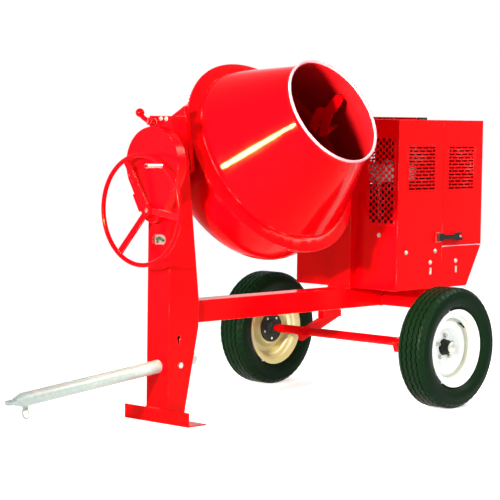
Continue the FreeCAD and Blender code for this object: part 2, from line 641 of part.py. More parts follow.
def build_cabinet_trim():
    grilles = [grille_panel("grille_near", "-D.grille_y - D.grille_width"),
               grille_panel("grille_far", "D.grille_y")]
    keep("front_grilles", group("front_grilles", grilles))
    post = slab("upright_out", ("D.upright_front", "-D.post_half_width", "D.cab_floor"),
                ("D.cab_front", "D.post_half_width", "D.tilt_z + 90"))
    hollow = slab("upright_in", ("D.upright_front + D.post_wall", "5 - D.post_half_width", "D.cab_floor - 5"),
                  ("D.cab_front + 5", "D.post_half_width - 5", "D.tilt_z + 85"))
    bore = rod("upright_bore", "D.sleeve_radius + 8", "100", ("D.upright_front - 20", "0", "D.tilt_z"), "X")
    keep("rear_upright", cut("rear_upright", post, [hollow, bore]))
    flange = slab("rear_bearing_plate", ("D.upright_front - 14", "-62", "D.tilt_z - 62"),
                  ("D.upright_front", "62", "D.tilt_z + 62"))
    collar = rod("rear_bearing_collar", "D.sleeve_radius + 8", "14 + D.cab_front - D.upright_front",
                 ("D.upright_front - 14", "0", "D.tilt_z"), "X")
    hole = rod("rear_bearing_bore", "D.sleeve_radius + D.running_gap", "120",
               ("D.upright_front - 30", "0", "D.tilt_z"), "X")
    keep("rear_bearing", cut("rear_bearing", join("rear_bearing_raw", [flange, collar]), [hole]))
    outlet = slab("outlet_cap", ("D.outlet_x - D.outlet_half", "-40", "D.cab_top"),
                  ("D.outlet_x + D.outlet_half", "40", "D.cab_top + 12"))
    duct = slab("outlet_duct", ("D.outlet_x - D.outlet_half + 6", "-34", "D.cab_top - 1"),
                ("D.outlet_x + D.outlet_half - 6", "45", "D.cab_top + 8"))
    keep("exhaust_outlet", cut("exhaust_outlet", outlet, [duct]))
    keep("hinge_fixed", hinge_half("hinge_fixed", -1, (-150, -30, 90), 60))
    keep("hinge_moving", hinge_half("hinge_moving", 1, (-89, 31), 58))


def hinge_half(name, side, starts, length):
    """One leaf of the hood hinge with its knuckles; the fixed half carries the pin."""
    knuckle = "D.hinge_radius"
    parts = []
    for i, start in enumerate(starts):
        parts.append(rod("%s_knuckle_%d" % (name, i), knuckle, length,
                         ("D.cab_seam + D.seam_gap / 2", start, "D.hinge_z"), "Y"))
        near = "D.cab_seam + D.seam_gap / 2"
        far = near + (" - 34" if side < 0 else " + 34")
        low, high = (far, near) if side < 0 else (near, far)
        parts.append(slab("%s_leaf_%d" % (name, i), (low, start, "D.cab_top"),
                          (high, start + length, "D.cab_top + 3")))
    if side < 0:
        pin = rod(name + "_pin", "2.5", "300", ("D.cab_seam + D.seam_gap / 2", "-150", "D.hinge_z"), "Y")
        return join(name, parts + [pin])
    bore = rod(name + "_bore", "2.5 + D.running_gap", "320",
               ("D.cab_seam + D.seam_gap / 2", "-160", "D.hinge_z"), "Y")
    return cut(name, join(name + "_raw", parts), [bore])


def build_latch(tag, side):
    def across(offset):
        return "%d * (D.cab_half_width + %s)" % (side, offset)

    def block(name, x_low, x_high, near, far, z_low, z_high):
        edges = (across(near), across(far)) if side > 0 else (across(far), across(near))
        return slab(name, (x_low, edges[0], z_low), (x_high, edges[1], z_high))

    low = "D.latch_z - D.latch_height / 2"
    high = "D.latch_z + D.latch_height / 2"
    mid = "D.latch_stand_off + D.latch_thick / 2"
    pivot = "D.latch_pivot_x"
    foot = block("latch_foot_" + tag, pivot + " - 14", pivot + " + 14", "0", "4", low + " - 6", high + " + 6")
    lugs = [block("latch_lug_%s_%d" % (tag, i), pivot + " - 9", pivot + " + 9", "0",
                  "D.latch_stand_off + D.latch_thick", a, b)
            for i, (a, b) in enumerate(((low + " - 6", low + " - 0.5"), (high + " + 0.5", high + " + 6")))]
    pin = rod("latch_pin_" + tag, "3.5", "D.latch_height + 12", (pivot, across(mid), low + " - 6"), "Z")
    arm = block("latch_arm_" + tag, pivot + " - 8", pivot + " + D.latch_length - 8", "D.latch_stand_off",
                "D.latch_stand_off + D.latch_thick", low, high)
    bore = rod("latch_bore_" + tag, "3.5 + D.running_gap", "D.latch_height + 4",
               (pivot, across(mid), low + " - 2"), "Z")
    slot = block("latch_slot_" + tag, "D.latch_stud_x - D.latch_stud / 2 - 1.5", pivot + " + D.latch_length",
                 "0", "60", "D.latch_z - D.latch_stud / 2 - 0.6", "D.latch_z + 13")
    keep("latch_" + tag, cut("latch_" + tag, arm, [bore, slot]))
    return join("latch_bracket_" + tag, [foot] + lugs + [pin])


build_cabinet()
build_cabinet_trim()
keep("latch_brackets", group("latch_brackets", [build_latch("near", -1), build_latch("far", 1)]))


# ---------------------------------------------------------------- gear outlines
def gear_corners(teeth, module, pressure, addendum, dedendum, backlash, start):
    """Corner points of an involute gear, one tooth centred on the start angle (degrees)."""
    pitch = teeth * module / 2
    base = pitch * math.cos(math.radians(pressure))
    tip = pitch + addendum
    root = pitch - dedendum
    lean = math.tan(math.radians(pressure)) - math.radians(pressure)
    half_pitch = math.pi / (2 * teeth) - backlash / (2 * pitch)
    low = max(base, root)
    flank = []
    for step in range(6):
        radius = low + (tip - low) * step / 5
        roll = math.sqrt(max(0, (radius / base) ** 2 - 1))
        flank.append((radius, half_pitch + lean - (roll - math.atan(roll))))
    if root < base:
        flank.insert(0, (root, flank[0][1]))
    corners = []
    for tooth in range(teeth):
        centre = math.radians(start) + 2 * math.pi * tooth / teeth
        for radius, half in flank:
            corners.append((radius, centre - half))
        for radius, half in reversed(flank):
            corners.append((radius, centre + half))
    return [(r * math.cos(a), r * math.sin(a)) for r, a in corners]


def spur_gear(teeth, start):
    """Spur gear about X with its back face at x = 0."""
    module = size("spur_module")
    corners = gear_corners(teeth, module, 20, module, 1.25 * module, 0.35, start)
    points = [Vec(0, a, b) for a, b in corners]
    face = Part.Face(Part.makePolygon(points + points[:1]))
    return face.extrude(Vec(size("gear_width"), 0, 0))


def bevel_pinion():
    """Straight bevel pinion about X, drawn from the crossing point of the two axes."""
    module = size("bevel_module")
    reach = size("bevel_reach")
    corners = gear_corners(int(size("bevel_teeth")), module, 25, 0.8 * module, module,
                           size("bevel_backlash"), 15)
    near = (size("bevel_inner") - 1) / reach
    far = (size("bevel_outer") + 1) / reach
    inner = [Vec(reach * near, a * near, b * near) for a, b in corners]
    outer = [Vec(reach * far, a * far, b * far) for a, b in corners]
    faces = [Part.Face(Part.makePolygon(loop + loop[:1])) for loop in (inner, outer)]
    for i in range(len(corners)):
        j = (i + 1) % len(corners)
        faces.append(Part.Face(Part.makePolygon([inner[i], inner[j], outer[j], outer[i], inner[i]])))
    skin = Part.makeShell(faces)
    skin.sewShape()
    return Part.makeSolid(skin)


def face_teeth():
    """Toothed crown of the drum ring: teeth point away from the mouth (to -Z)."""
    module = size("bevel_module")
    reach = size("bevel_reach")
    pitch_height = size("bevel_teeth") * module / 2
    slope = math.tan(math.radians(25))
    half = (math.pi * module / 2 - size("bevel_backlash")) / 2
    tip = pitch_height - 0.8 * module
    root = pitch_height + module
    tooth = [(-(half + module * slope), root), (-(half - 0.8 * module * slope), tip),
             (half - 0.8 * module * slope, tip), (half + module * slope, root)]
    inner = []
    outer = []
    teeth = int(size("ring_teeth"))
    for i in range(teeth):
        angle = 2 * math.pi * i / teeth
        for side, height in tooth:
            for loop, radius in ((inner, size("bevel_inner")), (outer, size("bevel_outer"))):
                k = radius / reach
                x = radius * math.cos(angle) - side * k * math.sin(angle)
                y = radius * math.sin(angle) + side * k * math.cos(angle)
                loop.append(Vec(x, y, height * k))
    top = size("ring_back")
    raised = [[Vec(p.x, p.y, top) for p in loop] for loop in (inner, outer)]
    faces = []
    count = len(inner)
    for i in range(count):
        j = (i + 1) % count
        for loop in ([inner[i], inner[j], outer[j], outer[i]],
                     [inner[i], inner[j], raised[0][j], raised[0][i]],
                     [outer[i], outer[j], raised[1][j], raised[1][i]]):
            faces.append(Part.Face(Part.makePolygon(loop + loop[:1])))
    wires = [Part.makePolygon(loop + loop[:1]) for loop in (raised[1], raised[0])]
    faces.append(Part.Face(wires))
    skin = Part.makeShell(faces)
    skin.sewShape()
    return Part.makeSolid(skin)


# ---------------------------------------------------------------- drum (on its own axes)
def build_drum():
    wall = "D.drum_wall"
    floor = "-D.bowl_depth"
    bowl = spun("bowl_outer", [("0", floor), ("D.bowl_radius - 60", floor + " + 16"),
                               ("D.bowl_radius", floor + " + 22"), ("D.bowl_radius", "D.ring_back"),
                               ("0", "D.ring_back")])
    soften(bowl, "D.bowl_corner", circle_at(size("bowl_radius"), 22 - size("bowl_depth")))
    inside = spun("bowl_inner", [("0", floor + " + " + wall), ("D.bowl_radius - 60", floor + " + 16 + " + wall),
                                 ("D.bowl_radius - " + wall, floor + " + 22 + " + wall),
                                 ("D.bowl_radius - " + wall, "D.ring_back + 5"), ("0", "D.ring_back + 5")])
    soften(inside, "D.bowl_corner - " + wall,
           circle_at(size("bowl_radius") - size("drum_wall"), 22 - size("bowl_depth") + size("drum_wall")))
    keep("drum_bowl", ride_yoke(cut("drum_bowl", bowl, [inside])))
    neck = "D.neck_radius"
    cone = spun("cone_solid", [
        ("D.cone_radius - " + wall, "D.ring_front"), ("D.cone_radius", "D.ring_front"),
        ("D.cone_radius", "D.cone_shoulder"), (neck, "D.neck_start"), (neck, "D.mouth_reach - 12"),
        (neck + " - " + wall, "D.mouth_reach - 12"), (neck + " - " + wall, "D.neck_start - 2"),
        ("D.cone_radius - " + wall, "D.cone_shoulder - 2")])
    soften(cone, "60", circle_at(size("cone_radius"), size("cone_shoulder")))
    soften(cone, "20", circle_at(size("neck_radius"), size("neck_start")))
    lip = hoop("lip_hoop", neck + " + 2", "D.lip_radius", ("0", "0", "D.mouth_reach - D.lip_radius"))
    lip_tool = hoop("lip_tool", neck + " + 2", "D.lip_radius", ("0", "0", "D.mouth_reach - D.lip_radius"))
    keep("drum_cone", ride_yoke(cut("drum_cone", cone, [lip_tool])))
    keep("mouth_lip", ride_yoke(group("mouth_lip", [lip])))
    ring = spun("ring_body", [
        ("D.ring_inner", "D.ring_back"), ("D.ring_outer", "D.ring_back"), ("D.ring_outer", "D.ring_lip"),
        ("D.cone_radius + 4", "D.ring_front"), ("D.ring_inner", "D.ring_front")])
    soften(ring, "3.5", circle_at(size("ring_outer"), size("ring_lip")))
    teeth = feature("ring_crown", face_teeth())
    keep("ring_gear", ride_yoke(join("ring_gear", [ring, teeth])))
    hub = rod("hub_disc", "95", "10", ("0", "0", floor + " - 10"))
    boss = rod("hub_boss", "42", "18", ("0", "0", floor + " - 28"))
    shaft = rod("hub_shaft", "D.drum_spindle", "110", ("0", "0", floor + " - 132"))
    keep("drum_spindle", ride_yoke(join("drum_spindle", [hub, boss, shaft])))
    room = spun("blade_room", [
        ("0", "D.ring_front"), ("D.cone_radius - " + wall, "D.ring_front"),
        ("D.cone_radius - " + wall, "D.cone_shoulder - 2"), (neck + " - " + wall, "D.neck_start - 2"),
        ("0", "D.neck_start - 2")])
    blades = [mixing_blade("blade_%d" % i, 22 + 120 * i, room) for i in range(3)]
    keep("mixing_blades", ride_yoke(group("mixing_blades", blades)))


FORK = [
    ("15", "165"), ("64", "260"), ("60", "280"), ("38", "300"), ("54", "358"), ("58", "394"),
    ("22", "406"), ("10", "385"), ("0", "350"), ("-5", "316"), ("-30", "275"), ("-70", "216"),
    ("-50", "180"), ("-5", "232"), ("8", "252"), ("4", "217"), ("-30", "174"),
]


def mixing_blade(name, angle, room):
    """Forked plate held off the cone wall by three struts, trimmed to the room inside."""
    fork = put(plate(name + "_fork", "YZ_Plane", FORK, "D.fork_thick"), ("D.fork_radius", "0", "0"))
    feet = (("-10", "176"), ("-56", "202"), ("38", "386"))
    struts = [rod("%s_strut_%d" % (name, i), "D.fork_strut", "D.cone_radius - D.fork_radius",
                  ("D.fork_radius", sideways, along), "X")
              for i, (sideways, along) in enumerate(feet)]
    whole = join(name + "_whole", [fork] + struts)
    spin(whole, Vec(0, 0, 1), angle)
    trimmed = doc.addObject("Part::Common", name)
    trimmed.Base = whole
    trimmed.Tool = room
    return trimmed


build_drum()


# ---------------------------------------------------------------- yoke and drive shaft
def build_yoke():
    inner = "D.yoke_inner"
    outer = "D.yoke_inner + D.yoke_plate"
    pieces = []
    for tag, side in (("front", -1), ("rear", 1)):
        shape = plate("cheek_" + tag, "YZ_Plane", [
            ("-60", "-150"), ("-50", "29"), ("229", "130"), ("229", "-70"), ("60", "-150")], "D.yoke_plate")
        put(shape, ("%d * (%s + D.yoke_plate / 2)" % (side, inner), "0", "0"))
        low = inner + " - D.yoke_bar" if side > 0 else "-" + inner
        high = inner if side > 0 else "-(" + inner + " - D.yoke_bar)"
        bar = slab("bar_" + tag, (low, "-D.yoke_bar_half", "-D.yoke_back"), (high, "D.yoke_bar_half", "-70"))
        low = "-(" + outer + ")" if side < 0 else inner
        high = "-" + inner if side < 0 else outer
        strap = slab("strap_" + tag, (low, "-D.yoke_bar_half", "-260"), (high, "D.yoke_bar_half", "-140"))
        pieces += [shape, bar, strap]
    pieces.append(slab("yoke_cross", ("-" + inner, "-D.yoke_bar_half", "-D.yoke_back"),
                       (inner, "D.yoke_bar_half", "-D.yoke_back + D.yoke_cross")))
    pieces.append(rod("yoke_house", "D.spindle_hub", "96", ("0", "0", "-D.yoke_back - 10")))
    pieces.append(rod("trunnion_bar", "D.trunnion_radius", "D.drum_x - D.yoke_inner - D.gear_x",
                      ("D.gear_x - D.drum_x", "0", "0"), "X"))
    pieces.append(rod("trunnion_collar", "38", "12", ("-(" + outer + ") - 12", "0", "0"), "X"))
    pieces.append(rod("sleeve_out", "D.sleeve_radius", "116", (inner, "0", "0"), "X"))
    bores = [rod("yoke_house_bore", "D.drum_spindle + D.running_gap", "140", ("0", "0", "-D.yoke_back - 30")),
             rod("sleeve_in", "D.drive_shaft_radius + D.running_gap", "160",
                 (inner + " - 10", "0", "0"), "X")]
    for i, turn in enumerate((0, -18, -36)):
        angle = math.radians(turn)
        radius = math.hypot(size("lock_y"), size("lock_rise"))
        start = math.atan2(size("lock_rise"), size("lock_y")) - math.radians(60)
        bores.append(rod("lock_hole_%d" % i, "D.lock_radius + 0.4", "80", (
            "-(" + outer + ") - 20", "%.4f" % (radius * math.cos(start + angle)),
            "%.4f" % (radius * math.sin(start + angle))), "X"))
    keep("yoke", ride_yoke(cut("yoke", join("yoke_raw", pieces), bores)))
    pinion = feature("pinion_teeth", bevel_pinion())
    pinion_bore = rod("pinion_bore", "D.drive_shaft_radius", "100", ("430", "0", "0"), "X")
    keep("bevel_pinion", ride_yoke(cut("bevel_pinion", pinion, [pinion_bore])))
    shaft = rod("drive_rod", "D.drive_shaft_radius", "D.pulley_x + D.pulley_width - D.drum_x - D.bevel_inner + 14",
                ("D.drum_x + D.bevel_inner - 6", "0", "D.tilt_z"), "X")
    keep("drive_shaft", group("drive_shaft", [shaft]))


build_yoke()


# ---------------------------------------------------------------- dump gears, guard, handwheel
def build_dump_gears():
    bull = feature("bull_raw", spur_gear(int(size("bull_teeth")), -90))
    put(bull, ("D.gear_x", "0", "D.tilt_z"))
    holes = [rod("bull_bore", "D.trunnion_radius", "80", ("D.gear_x - 20", "0", "D.tilt_z"), "X")]
    for i in range(5):
        angle = math.radians(72 * i + 18)
        holes.append(rod("bull_light_%d" % i, "28", "80", ("D.gear_x - 20", "%.3f" % (95 * math.cos(angle)),
                                                           "D.tilt_z + %.3f" % (95 * math.sin(angle))), "X"))
    keep("bull_gear", cut("bull_gear", bull, holes))
    pinion = feature("dump_pinion_raw", spur_gear(int(size("spur_teeth")), 97.5))
    put(pinion, ("D.gear_x", "0", LOW_Z))
    rod_x = rod("wheel_rod", "D.wheel_shaft_radius", "D.house_front + D.house_length - D.handwheel_hub_x - 6",
                ("D.handwheel_hub_x + 6", "0", LOW_Z), "X")
    keep("dump_pinion", join("dump_pinion", [pinion, rod_x]))


def guard_solid(name, inset, front, depth):
    disc = rod(name + "_disc", "D.guard_radius - %s" % inset, depth, (front, "0", "D.tilt_z"), "X")
    lobe = rod(name + "_lobe", "58 - %s" % inset, depth, (front, "0", LOW_Z), "X")
    neck = plate(name + "_neck", "YZ_Plane", [
        ("-D.guard_foot + %s" % inset, "D.guard_foot_z"), ("D.guard_foot - %s" % inset, "D.guard_foot_z"),
        ("141 - %s" % inset, "D.tilt_z - 91"), ("-141 + %s" % inset, "D.tilt_z - 91")], depth)
    put(neck, ("(%s) + (%s) / 2" % (front, depth), "0", "0"))
    return join(name, [disc, lobe, neck])


def build_guard():
    outer = guard_solid("guard_out", "0", "D.guard_front", "D.post_front - D.guard_front")
    inner = guard_solid("guard_in", "D.guard_wall", "D.guard_front + D.guard_wall", "80")
    hole = rod("guard_hole", "18", "30", ("D.guard_front - 10", "0", LOW_Z), "X")
    keep("gear_guard", cut("gear_guard", outer, [inner, hole]))


def build_bolts():
    radius = "D.side_bolt"
    height = "D.side_bolt_height"
    bolts = [rod("post_bolt_%d" % i, radius, height,
                 ("D.post_front - " + height, across, "D.post_top_z - 12"), "X")
             for i, across in enumerate(("-38", "-4"))]
    spots = [("D.seam_bolt_a_x", "D.seam_bolt_z"), ("D.seam_bolt_b_x", "D.seam_bolt_z"),
             ("D.stand_bolt_a_x", "D.stand_bolt_z"), ("D.stand_bolt_b_x", "D.stand_bolt_z")]
    for tag, side in (("near", -1), ("far", 1)):
        skin = "%d * D.cab_half_width" % side
        start = skin + (" - " + height if side < 0 else "")
        for i, (x, z) in enumerate(spots):
            bolts.append(rod("side_bolt_%s_%d" % (tag, i), radius, height, (x, start, z), "Y"))
        for i, x in enumerate(("D.stand_bolt_a_x", "D.stand_bolt_b_x")):
            bolts.append(box("side_strap_%s_%d" % (tag, i), ("D.strap_width", height, "D.strap_height"),
                             (x + " - D.strap_width / 2", start, "D.strap_z")))
        bolts.append(rod("front_bolt_" + tag, radius, height,
                         ("D.cab_front - " + height, "%d * D.front_bolt_y" % side, "D.front_bolt_z"), "X"))
    edge = "-D.post_half_width"
    tow_bolt = [
        rod("tow_bolt_shank", "D.tow_pin_radius", "2 * D.post_half_width",
            ("D.tow_pin_x", edge, TOW_PIN_Z), "Y"),
        rod("tow_bolt_head", "D.tow_bolt_head", "9", ("D.tow_pin_x", edge + " - 9", TOW_PIN_Z), "Y"),
        rod("tow_bolt_nut", "D.tow_bolt_head", "11", ("D.tow_pin_x", "D.post_half_width", TOW_PIN_Z), "Y"),
    ]
    bolts.append(join("tow_bolt", tow_bolt))
    keep("frame_bolts", group("frame_bolts", bolts))


def build_handwheel():
    rim = hoop("wheel_rim", "D.handwheel_radius", "D.rim_tube", ("D.handwheel_x", "0", LOW_Z), "X")
    hub = rod("wheel_hub", "D.handwheel_hub_radius", "D.handwheel_hub_length",
              ("D.handwheel_hub_x", "0", LOW_Z), "X")
    parts = [rim, hub]
    for i, angle in enumerate((-145, -25, 95)):
        spoke = plate("spoke_%d" % i, "XZ_Plane", [
            ("D.handwheel_hub_x + 8", "15"), ("D.handwheel_hub_x + 16", "15"),
            ("D.handwheel_x + 6", "D.handwheel_radius"), ("D.handwheel_x - 3", "D.handwheel_radius")],
            "D.spoke_width")
        spoke.Placement.Rotation = FreeCAD.Rotation(Vec(1, 0, 0), angle)
        put(spoke, ("0", "0", LOW_Z))
        parts.append(spoke)
    peg_y = "-D.handwheel_radius * sin(D.peg_angle)"
    peg_z = LOW_Z + " + D.handwheel_radius * cos(D.peg_angle)"
    grip_x = "D.handwheel_x - D.peg_length - 12"
    stud = rod("peg_stud", "D.peg_stud", "D.peg_length + 16", (grip_x + " - 4", peg_y, peg_z), "X")
    head = rod("peg_head", "D.peg_stud + 3", "6", (grip_x + " - 8", peg_y, peg_z), "X")
    bore = rod("wheel_bore", "D.wheel_shaft_radius", "90", ("D.handwheel_hub_x - 30", "0", LOW_Z), "X")
    keep("handwheel", cut("handwheel", join("handwheel_raw", parts + [stud, head]), [bore]))
    grip = rod("grip_out", "D.peg_radius", "D.peg_length", (grip_x, peg_y, peg_z), "X")
    grip_bore = rod("grip_in", "D.peg_stud + D.running_gap", "D.peg_length + 20",
                    (grip_x + " - 10", peg_y, peg_z), "X")
    keep("spinner_grip", cut("spinner_grip", grip, [grip_bore]))


def bent_bar(name, points, radius):
    """Round bar along a smooth curve through the points."""
    curve = Part.BSplineCurve()
    curve.interpolate(points)
    along = curve.tangent(curve.FirstParameter)[0]
    section = Part.Wire(Part.makeCircle(radius, points[0], along).Edges)
    return feature(name, Part.Wire([curve.toShape()]).makePipeShell([section], True, True))


def build_lock():
    bolt = rod("lock_bolt", "D.lock_radius", "D.lock_bolt_end - D.lock_hub_x - 2",
               ("D.lock_hub_x + 2", "D.lock_y", LOCK_Z), "X")
    hub = rod("lock_hub", "17", "D.lock_hub_length", ("D.lock_hub_x", "D.lock_y", LOCK_Z), "X")
    root = Vec(size("lock_hub_x") + 4, size("lock_y"), size("tilt_z") + size("lock_rise"))
    steps = (Vec(0, 0, 0), Vec(0, 22, 8), Vec(-4, 42, 22), Vec(-8, 52, 38))
    horn = bent_bar("lock_horn", [root + step for step in steps], size("horn_radius"))
    knob = doc.addObject("Part::Sphere", "lock_knob")
    bind(knob, Radius="D.horn_knob")
    put(knob, ("D.lock_hub_x - 4", "D.lock_y + 52", LOCK_Z + " + 38"))
    keep("lock_handle", join("lock_handle", [bolt, hub, horn, knob]))


build_dump_gears()
build_guard()
build_bolts()
build_handwheel()
build_lock()


# ---------------------------------------------------------------- tow tube
def along_tow(item):
    """Seat a piece drawn with Z forward along the tow tube and X up."""
    item.Placement.Rotation = FreeCAD.Rotation(Vec(0, -1, 0), 90 + size("tow_slope"))
    item.setExpression("Placement.Rotation.Angle", "90 + D.tow_slope")
    return put(item, ("D.tow_datum_x", "0", "D.tow_datum_z"))


def build_tow():
    rear = "(D.tow_datum_x - D.tow_rear_x) / cos(D.tow_slope)"
    front = "(D.tow_datum_x - D.tow_cone_x) / cos(D.tow_slope)"
    tube = rod("tow_pipe", "D.tow_radius", "(%s) - (%s)" % (front, rear), ("0", "0", rear))
    nose = taper("tow_nose", "D.tow_radius", "16", "42", ("0", "0", front))
    eye = front + " + D.tongue_length"
    tongue = slab("tow_tongue", ("-D.tongue_thick / 2", "-D.tongue_half", front),
                  ("D.tongue_thick / 2", "D.tongue_half", eye))
    tip = rod("tow_tip", "D.tongue_half", "D.tongue_thick", ("-D.tongue_thick / 2", "0", eye), "X")
    ear = slab("tow_ear", ("-50", "-3", front + " - 30"), ("-20", "3", front + " - 2"))
    bores = [rod("tow_hollow", "26.5", "(%s) - (%s) - 30" % (front, rear), ("0", "0", rear + " - 20")),
             rod("tow_eye", "9", "40", ("-20", "0", eye), "X"),
             rod("tow_ear_hole", "5", "20", ("-41", "-10", front + " - 16"), "Y"),
             rod("tow_pin_hole", "D.tow_pin_radius + 0.5", "100",
                 ("0", "-50", "(D.tow_datum_x - D.tow_pin_x) / cos(D.tow_slope)"), "Y")]
    keep("tow_tube", along_tow(cut("tow_tube", join("tow_raw", [tube, nose, tongue, tip, ear]), bores)))
    ring = hoop("ring_wire", "22", "3", ("-63", "0", front + " - 16"))
    keep("safety_ring", along_tow(group("safety_ring", [ring])))


build_tow()


# ---------------------------------------------------------------- belt drive and engine
def pulley(name, radius, drop, bore):
    groove = radius + " - 10"
    body = spun(name + "_wheel", [
        ("0", "0"), (radius, "0"), (radius, "4"), (groove, "6"), (groove, "14"), (radius, "16"),
        (radius, "19"), (groove, "21"), (groove, "29"), (radius, "31"), (radius, "D.pulley_width"),
        ("0", "D.pulley_width")])
    body.Placement = FreeCAD.Placement(Vec(), TURN["X"])
    put(body, ("D.pulley_x", "0", "D.tilt_z - (%s)" % drop))
    if bore is None:
        return body
    return cut(name, body, [
        rod(name + "_bore", bore, "80", ("D.pulley_x - 20", "0", "D.tilt_z - (%s)" % drop), "X")])


def belt_face(growth):
    """Outline round both pulley grooves, widened by growth."""
    large = size("big_pulley") - 10 + growth
    small = size("small_pulley") - 10 + growth
    top = Vec(0, 0, size("tilt_z"))
    low = Vec(0, 0, size("tilt_z") - size("belt_drop"))
    lean = math.asin((large - small) / size("belt_drop"))
    across = math.cos(lean)
    rise = -math.sin(lean)

    def rim(centre, radius, side):
        return centre + Vec(0, side * radius * across, radius * rise)

    edges = [
        Part.Arc(rim(top, large, -1), top + Vec(0, 0, large), rim(top, large, 1)).toShape(),
        Part.makeLine(rim(top, large, 1), rim(low, small, 1)),
        Part.Arc(rim(low, small, 1), low + Vec(0, 0, -small), rim(low, small, -1)).toShape(),
        Part.makeLine(rim(low, small, -1), rim(top, large, -1)),
    ]
    return Part.Face(Part.Wire(edges))


def build_belt_drive():
    keep("large_pulley", pulley("large_pulley", "D.big_pulley", "0", "D.drive_shaft_radius"))
    wheel = pulley("small_wheel", "D.small_pulley", "D.belt_drop", None)
    shaft = rod("output_rod", "D.output_radius", "D.engine_x + 18 - D.pulley_x + 6",
                ("D.pulley_x - 6", "0", "D.tilt_z - D.belt_drop"), "X")
    keep("small_pulley", join("small_pulley", [wheel, shaft]))
    belts = []
    for i, offset in enumerate((6.4, 21.4)):
        loop = belt_face(8.5).cut(belt_face(0.6)).extrude(Vec(7.2, 0, 0))
        belt = feature("belt_%d" % i, loop)
        belts.append(put(belt, ("D.pulley_x + %s" % offset, "0", "0")))
    keep("drive_belts", group("drive_belts", belts))


def build_engine():
    x = "D.engine_x"
    end = "D.engine_x + D.case_length"
    floor = "D.engine_floor"
    crown = "D.engine_floor + D.case_height"
    shaft_z = "D.tilt_z - D.belt_drop"
    top = slab("stand_top", (x + " - D.stand_margin", "-D.stand_half_width", floor + " - D.stand_thick"),
               (end + " + D.stand_margin", "D.stand_half_width", floor))
    legs = []
    for i, low_x in enumerate((x + " - D.stand_margin", end + " + D.stand_margin - D.stand_leg")):
        for tag, low_y in (("near", "-D.stand_half_width"), ("far", "D.stand_half_width - D.stand_leg")):
            legs.append(slab("stand_leg_%s_%d" % (tag, i), (low_x, low_y, "D.cab_floor + D.sheet_wall"),
                             (low_x + " + D.stand_leg", low_y + " + D.stand_leg", floor + " - D.stand_thick")))
    keep("engine_stand", join("engine_stand", [top] + legs))
    case = slab("case_box", (x, "-D.case_half_width", floor), (end, "D.case_half_width", crown))
    boss = rod("case_boss", "48", "14", (x + " - 14", "0", shaft_z), "X")
    fan = rod("fan_drum", "D.fan_radius", "D.fan_length", (end, "0", floor + " + D.fan_rise"), "X")
    dome = rod("fan_dome", "D.fan_radius - 32", "16",
               (end + " + D.fan_length", "0", floor + " + D.fan_rise"), "X")
    lever_x = x + " + D.lever_offset"
    lever_z = floor + " + D.lever_rise"
    lever_y = "-D.case_half_width - 14"
    pin = rod("lever_pin", "3", "16", (lever_x, lever_y + " - 2", lever_z), "Y")
    bore = rod("case_bore", "D.output_radius + D.running_gap", "60", (x + " - 30", "0", shaft_z), "X")
    keep("engine_case", cut("engine_case", join("case_raw", [case, boss, fan, dome, pin]), [bore]))
    parts = [slab("barrel_core", (x + " + 50", "-20", crown), (end + " - 50", "D.case_half_width",
                                                              crown + " + D.barrel_height"))]
    for i in range(int(size("fin_count"))):
        low = crown + " + 10 + %d * D.fin_pitch" % i
        parts.append(slab("fin_%d" % i, (x + " + 46", "-40", low),
                          (end + " - 46", "D.case_half_width + 20", low + " + 4")))
    keep("engine_cylinder", join("engine_cylinder", parts))
    tank = plate("tank_body", "XY_Plane", [
        (x, "D.tank_low_y"), (end + " + 20", "D.tank_low_y"), (end + " + 20", "D.tank_high_y"),
        (x, "D.tank_high_y")], "D.tank_height")
    tank_mid = floor + " + D.tank_rise"
    put(tank, ("0", "0", tank_mid))
    soften(tank, "22", lambda edge: True)
    fittings = [rod("tank_cap", "28", "18", (x + " + 130", "-70", tank_mid + " + D.tank_height / 2 - 1"))]
    pad_z = tank_mid + " - D.tank_height / 2 - 20"
    for i, post_x in enumerate((x + " + 34", end + " - 14")):
        for tag, post_y in (("near", "-100"), ("far", "85")):
            mark = "%s_%d" % (tag, i)
            fittings.append(rod("tank_post_" + mark, "6", "160", (post_x, post_y, crown)))
            fittings.append(rod("tank_pad_" + mark, "10", "30", (post_x, post_y, pad_z)))
    keep("fuel_tank", join("fuel_tank", [tank] + fittings))
    can = rod("muffler_can", "D.muffler_radius", "200", ("D.outlet_x", "-100", "D.muffler_z"), "Y")
    riser = rod("muffler_riser", "15", "D.cab_top - D.muffler_z - 13",
                ("D.outlet_x", "0", "D.muffler_z + 15"), "Z")
    header = rod("muffler_header", "14", "D.outlet_x - (%s - 50)" % end,
                 (end + " - 50", "45", "D.muffler_z - 20"), "X")
    keep("muffler", join("muffler", [can, riser, header]))
    case_air = slab("air_box", (x + " + 50", "-200", floor + " + 185"), (x + " + 170", "-80", floor + " + 275"))
    neck = rod("air_neck", "18", "41", (x + " + 110", "-81", floor + " + 230"), "Y")
    keep("air_cleaner", join("air_cleaner", [case_air, neck]))
    hub = rod("lever_hub", "9", "8", (lever_x, lever_y, lever_z), "Y")
    arm = slab("lever_arm", (lever_x + " - 5", lever_y + " + 2", lever_z),
               (lever_x + " + 5", lever_y + " + 6", lever_z + " + 50"))
    hole = rod("lever_hole", "3 + D.running_gap", "30", (lever_x, lever_y + " - 11", lever_z), "Y")
    keep("throttle_lever", cut("throttle_lever", join("lever_raw", [hub, arm]), [hole]))


build_belt_drive()
build_engine()


